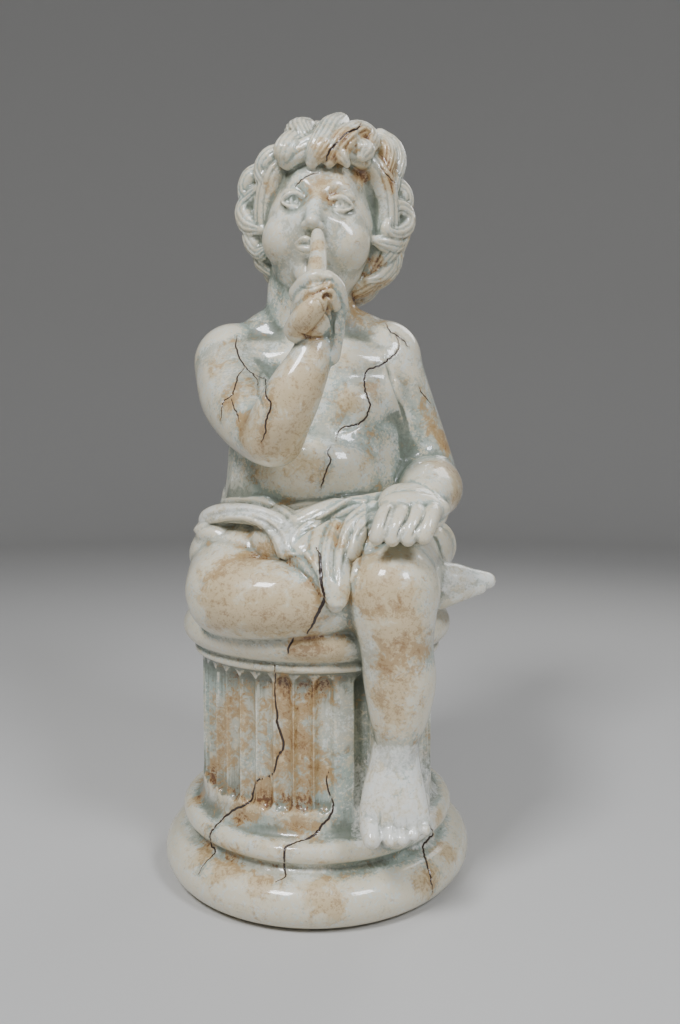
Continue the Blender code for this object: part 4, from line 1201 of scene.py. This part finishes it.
def plasterMaterial():
    made = bpy.data.materials.new("varnished cast plaster")
    made.use_nodes = True
    tree = made.node_tree
    shader = tree.nodes["Principled BSDF"]
    for name, value in finish["varnish"].items():
        shader.inputs[name].default_value = value
    place = addNode(tree, "ShaderNodeTexCoord").outputs["Object"]
    values = {}
    # crease and recess carry the painted shade in the hollows and the painted highlight on raised places
    for name in ("crackGap", "crease", "recess", "stain", "white"):
        values[name] = addNode(tree, "ShaderNodeAttribute", {"attribute_name": name}).outputs["Fac"]
    for name, (size, detail, roughness, warp) in finish["patterns"].items():
        values[name] = addNode(tree, "ShaderNodeTexNoise", {
            "Scale": 1000 / size, "Detail": detail, "Roughness": roughness, "Distortion": warp,
        }, {"Vector": place}).outputs["Fac"]
    # each glaze, the dullness and the relief is a weighted sum of patterns and attributes
    sums = {name: (weights, 0) for name, (_, weights, *_) in finish["glazes"].items()}
    sums["dull"] = (finish["dull"], finish["roughness"])
    sums["bump"] = (finish["bump"], 0)
    totals = {}
    for name, (weights, start) in sums.items():
        links = {}
        for source, weight in weights.items():
            links[0] = values[source]
            links[2] = addNode(tree, "ShaderNodeMath", {"operation": "MULTIPLY_ADD", 1: weight, 2: start},
                               links).outputs[0]
        totals[name] = links[2]
    colour = addNode(tree, "ShaderNodeRGB").outputs[0]
    colour.default_value = toLinear(finish["ground"])
    for name, (shade, _, begins, full, most) in finish["glazes"].items():
        share = addNode(tree, "ShaderNodeMapRange", {
            "interpolation_type": "SMOOTHSTEP", "From Min": begins, "From Max": full, "To Max": most,
        }, {"Value": totals[name]}).outputs["Result"]
        colour = addNode(tree, "ShaderNodeMix", {"data_type": "RGBA", 7: toLinear(shade)},
                         {0: share, 6: colour}).outputs[2]
    tree.links.new(colour, shader.inputs["Base Color"])
    tree.links.new(totals["dull"], shader.inputs["Roughness"])
    bump = addNode(tree, "ShaderNodeBump", {
        "Strength": finish["bumpStrength"], "Distance": finish["bumpMm"] / 1000,
    }, {"Height": totals["bump"]})
    tree.links.new(bump.outputs["Normal"], shader.inputs["Normal"])
    return made


cherub.data.materials.clear()
cherub.data.materials.append(plasterMaterial())
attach(cherub, "root")
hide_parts("cherub_on_column")

# Round floor that sweeps up all about, lights and camera
studio = {
    "flat": 3.6,
    "sweep": 1.6,
    "top": 6.0,
    "paper": "#C8C6C2",
    "paperRoughness": 0.9,
    "sky": "#C8CBD0",
    "skyStrength": 0.5,
    # name: place, the point it aims at, watts, size and colour
    "lights": {
        "key": ((-0.8, -1.3, 1.95), (0, 0, 0.4), 43, 0.5, "#F6F9FF"),
        "fill": ((1.1, -1.4, 1.7), (0, 0, 0.35), 27, 0.5, "#F0F5FF"),
        "back": ((0.9, 1.2, 1.6), (0, 0, 0.45), 7, 0.8, "#FFFFFF"),
    },
}


def sweptFloor():
    bend = arc(studio["flat"], studio["sweep"], studio["sweep"], -90, 0, 17)
    bm = bmesh.new()
    profile = [(0, 0), *bend, (studio["flat"] + studio["sweep"], studio["top"])]
    points = [bm.verts.new((r, 0, z)) for r, z in profile]
    for inner, outer in zip(points, points[1:]):
        bm.edges.new((inner, outer))
    bmesh.ops.spin(bm, geom=bm.verts[:] + bm.edges[:], axis=(0, 0, 1), angle=2 * math.pi, steps=96,
                   use_merge=True)
    bmesh.ops.remove_doubles(bm, verts=bm.verts, dist=0.0001)
    bmesh.ops.recalc_face_normals(bm, faces=bm.faces)
    mesh = bpy.data.meshes.new("floor")
    bm.to_mesh(mesh)
    bm.free()
    mesh.shade_smooth()
    return mesh


floorMesh = sweptFloor()
floor = bpy.data.objects.new("floor", floorMesh)
bpy.context.scene.collection.objects.link(floor)
pale = bpy.data.materials.new("pale matt paper")
pale.use_nodes = True
paper = pale.node_tree.nodes["Principled BSDF"]
paper.inputs["Base Color"].default_value = toLinear(studio["paper"])
paper.inputs["Roughness"].default_value = studio["paperRoughness"]
floorMesh.materials.append(pale)

world = bpy.data.worlds.new("studio")
world.use_nodes = True
sky = world.node_tree.nodes["Background"]
sky.inputs["Color"].default_value = toLinear(studio["sky"])
sky.inputs["Strength"].default_value = studio["skyStrength"]
bpy.context.scene.world = world


def softbox(name, place, aim, power, size, tint):
    light = bpy.data.lights.new(name, "AREA")
    light.energy = power
    light.size = size
    light.color = toLinear(tint)[:3]
    obj = bpy.data.objects.new(name, light)
    bpy.context.scene.collection.objects.link(obj)
    obj.location = place
    obj.rotation_euler = (Vector(aim) - Vector(place)).to_track_quat("-Z", "Y").to_euler()


for name, settings in studio["lights"].items():
    softbox(name, *settings)

lens = bpy.data.cameras.new("camera")
lens.lens = camera["lens"]
lens.sensor_width = camera["sensor"]
lens.clip_start = 0.05
viewer = bpy.data.objects.new("camera", lens)
bpy.context.scene.collection.objects.link(viewer)
viewer.location = camera["place"]
viewer.rotation_euler = (math.radians(90 - camera["tiltDown"]), 0, 0)
bpy.context.scene.camera = viewer
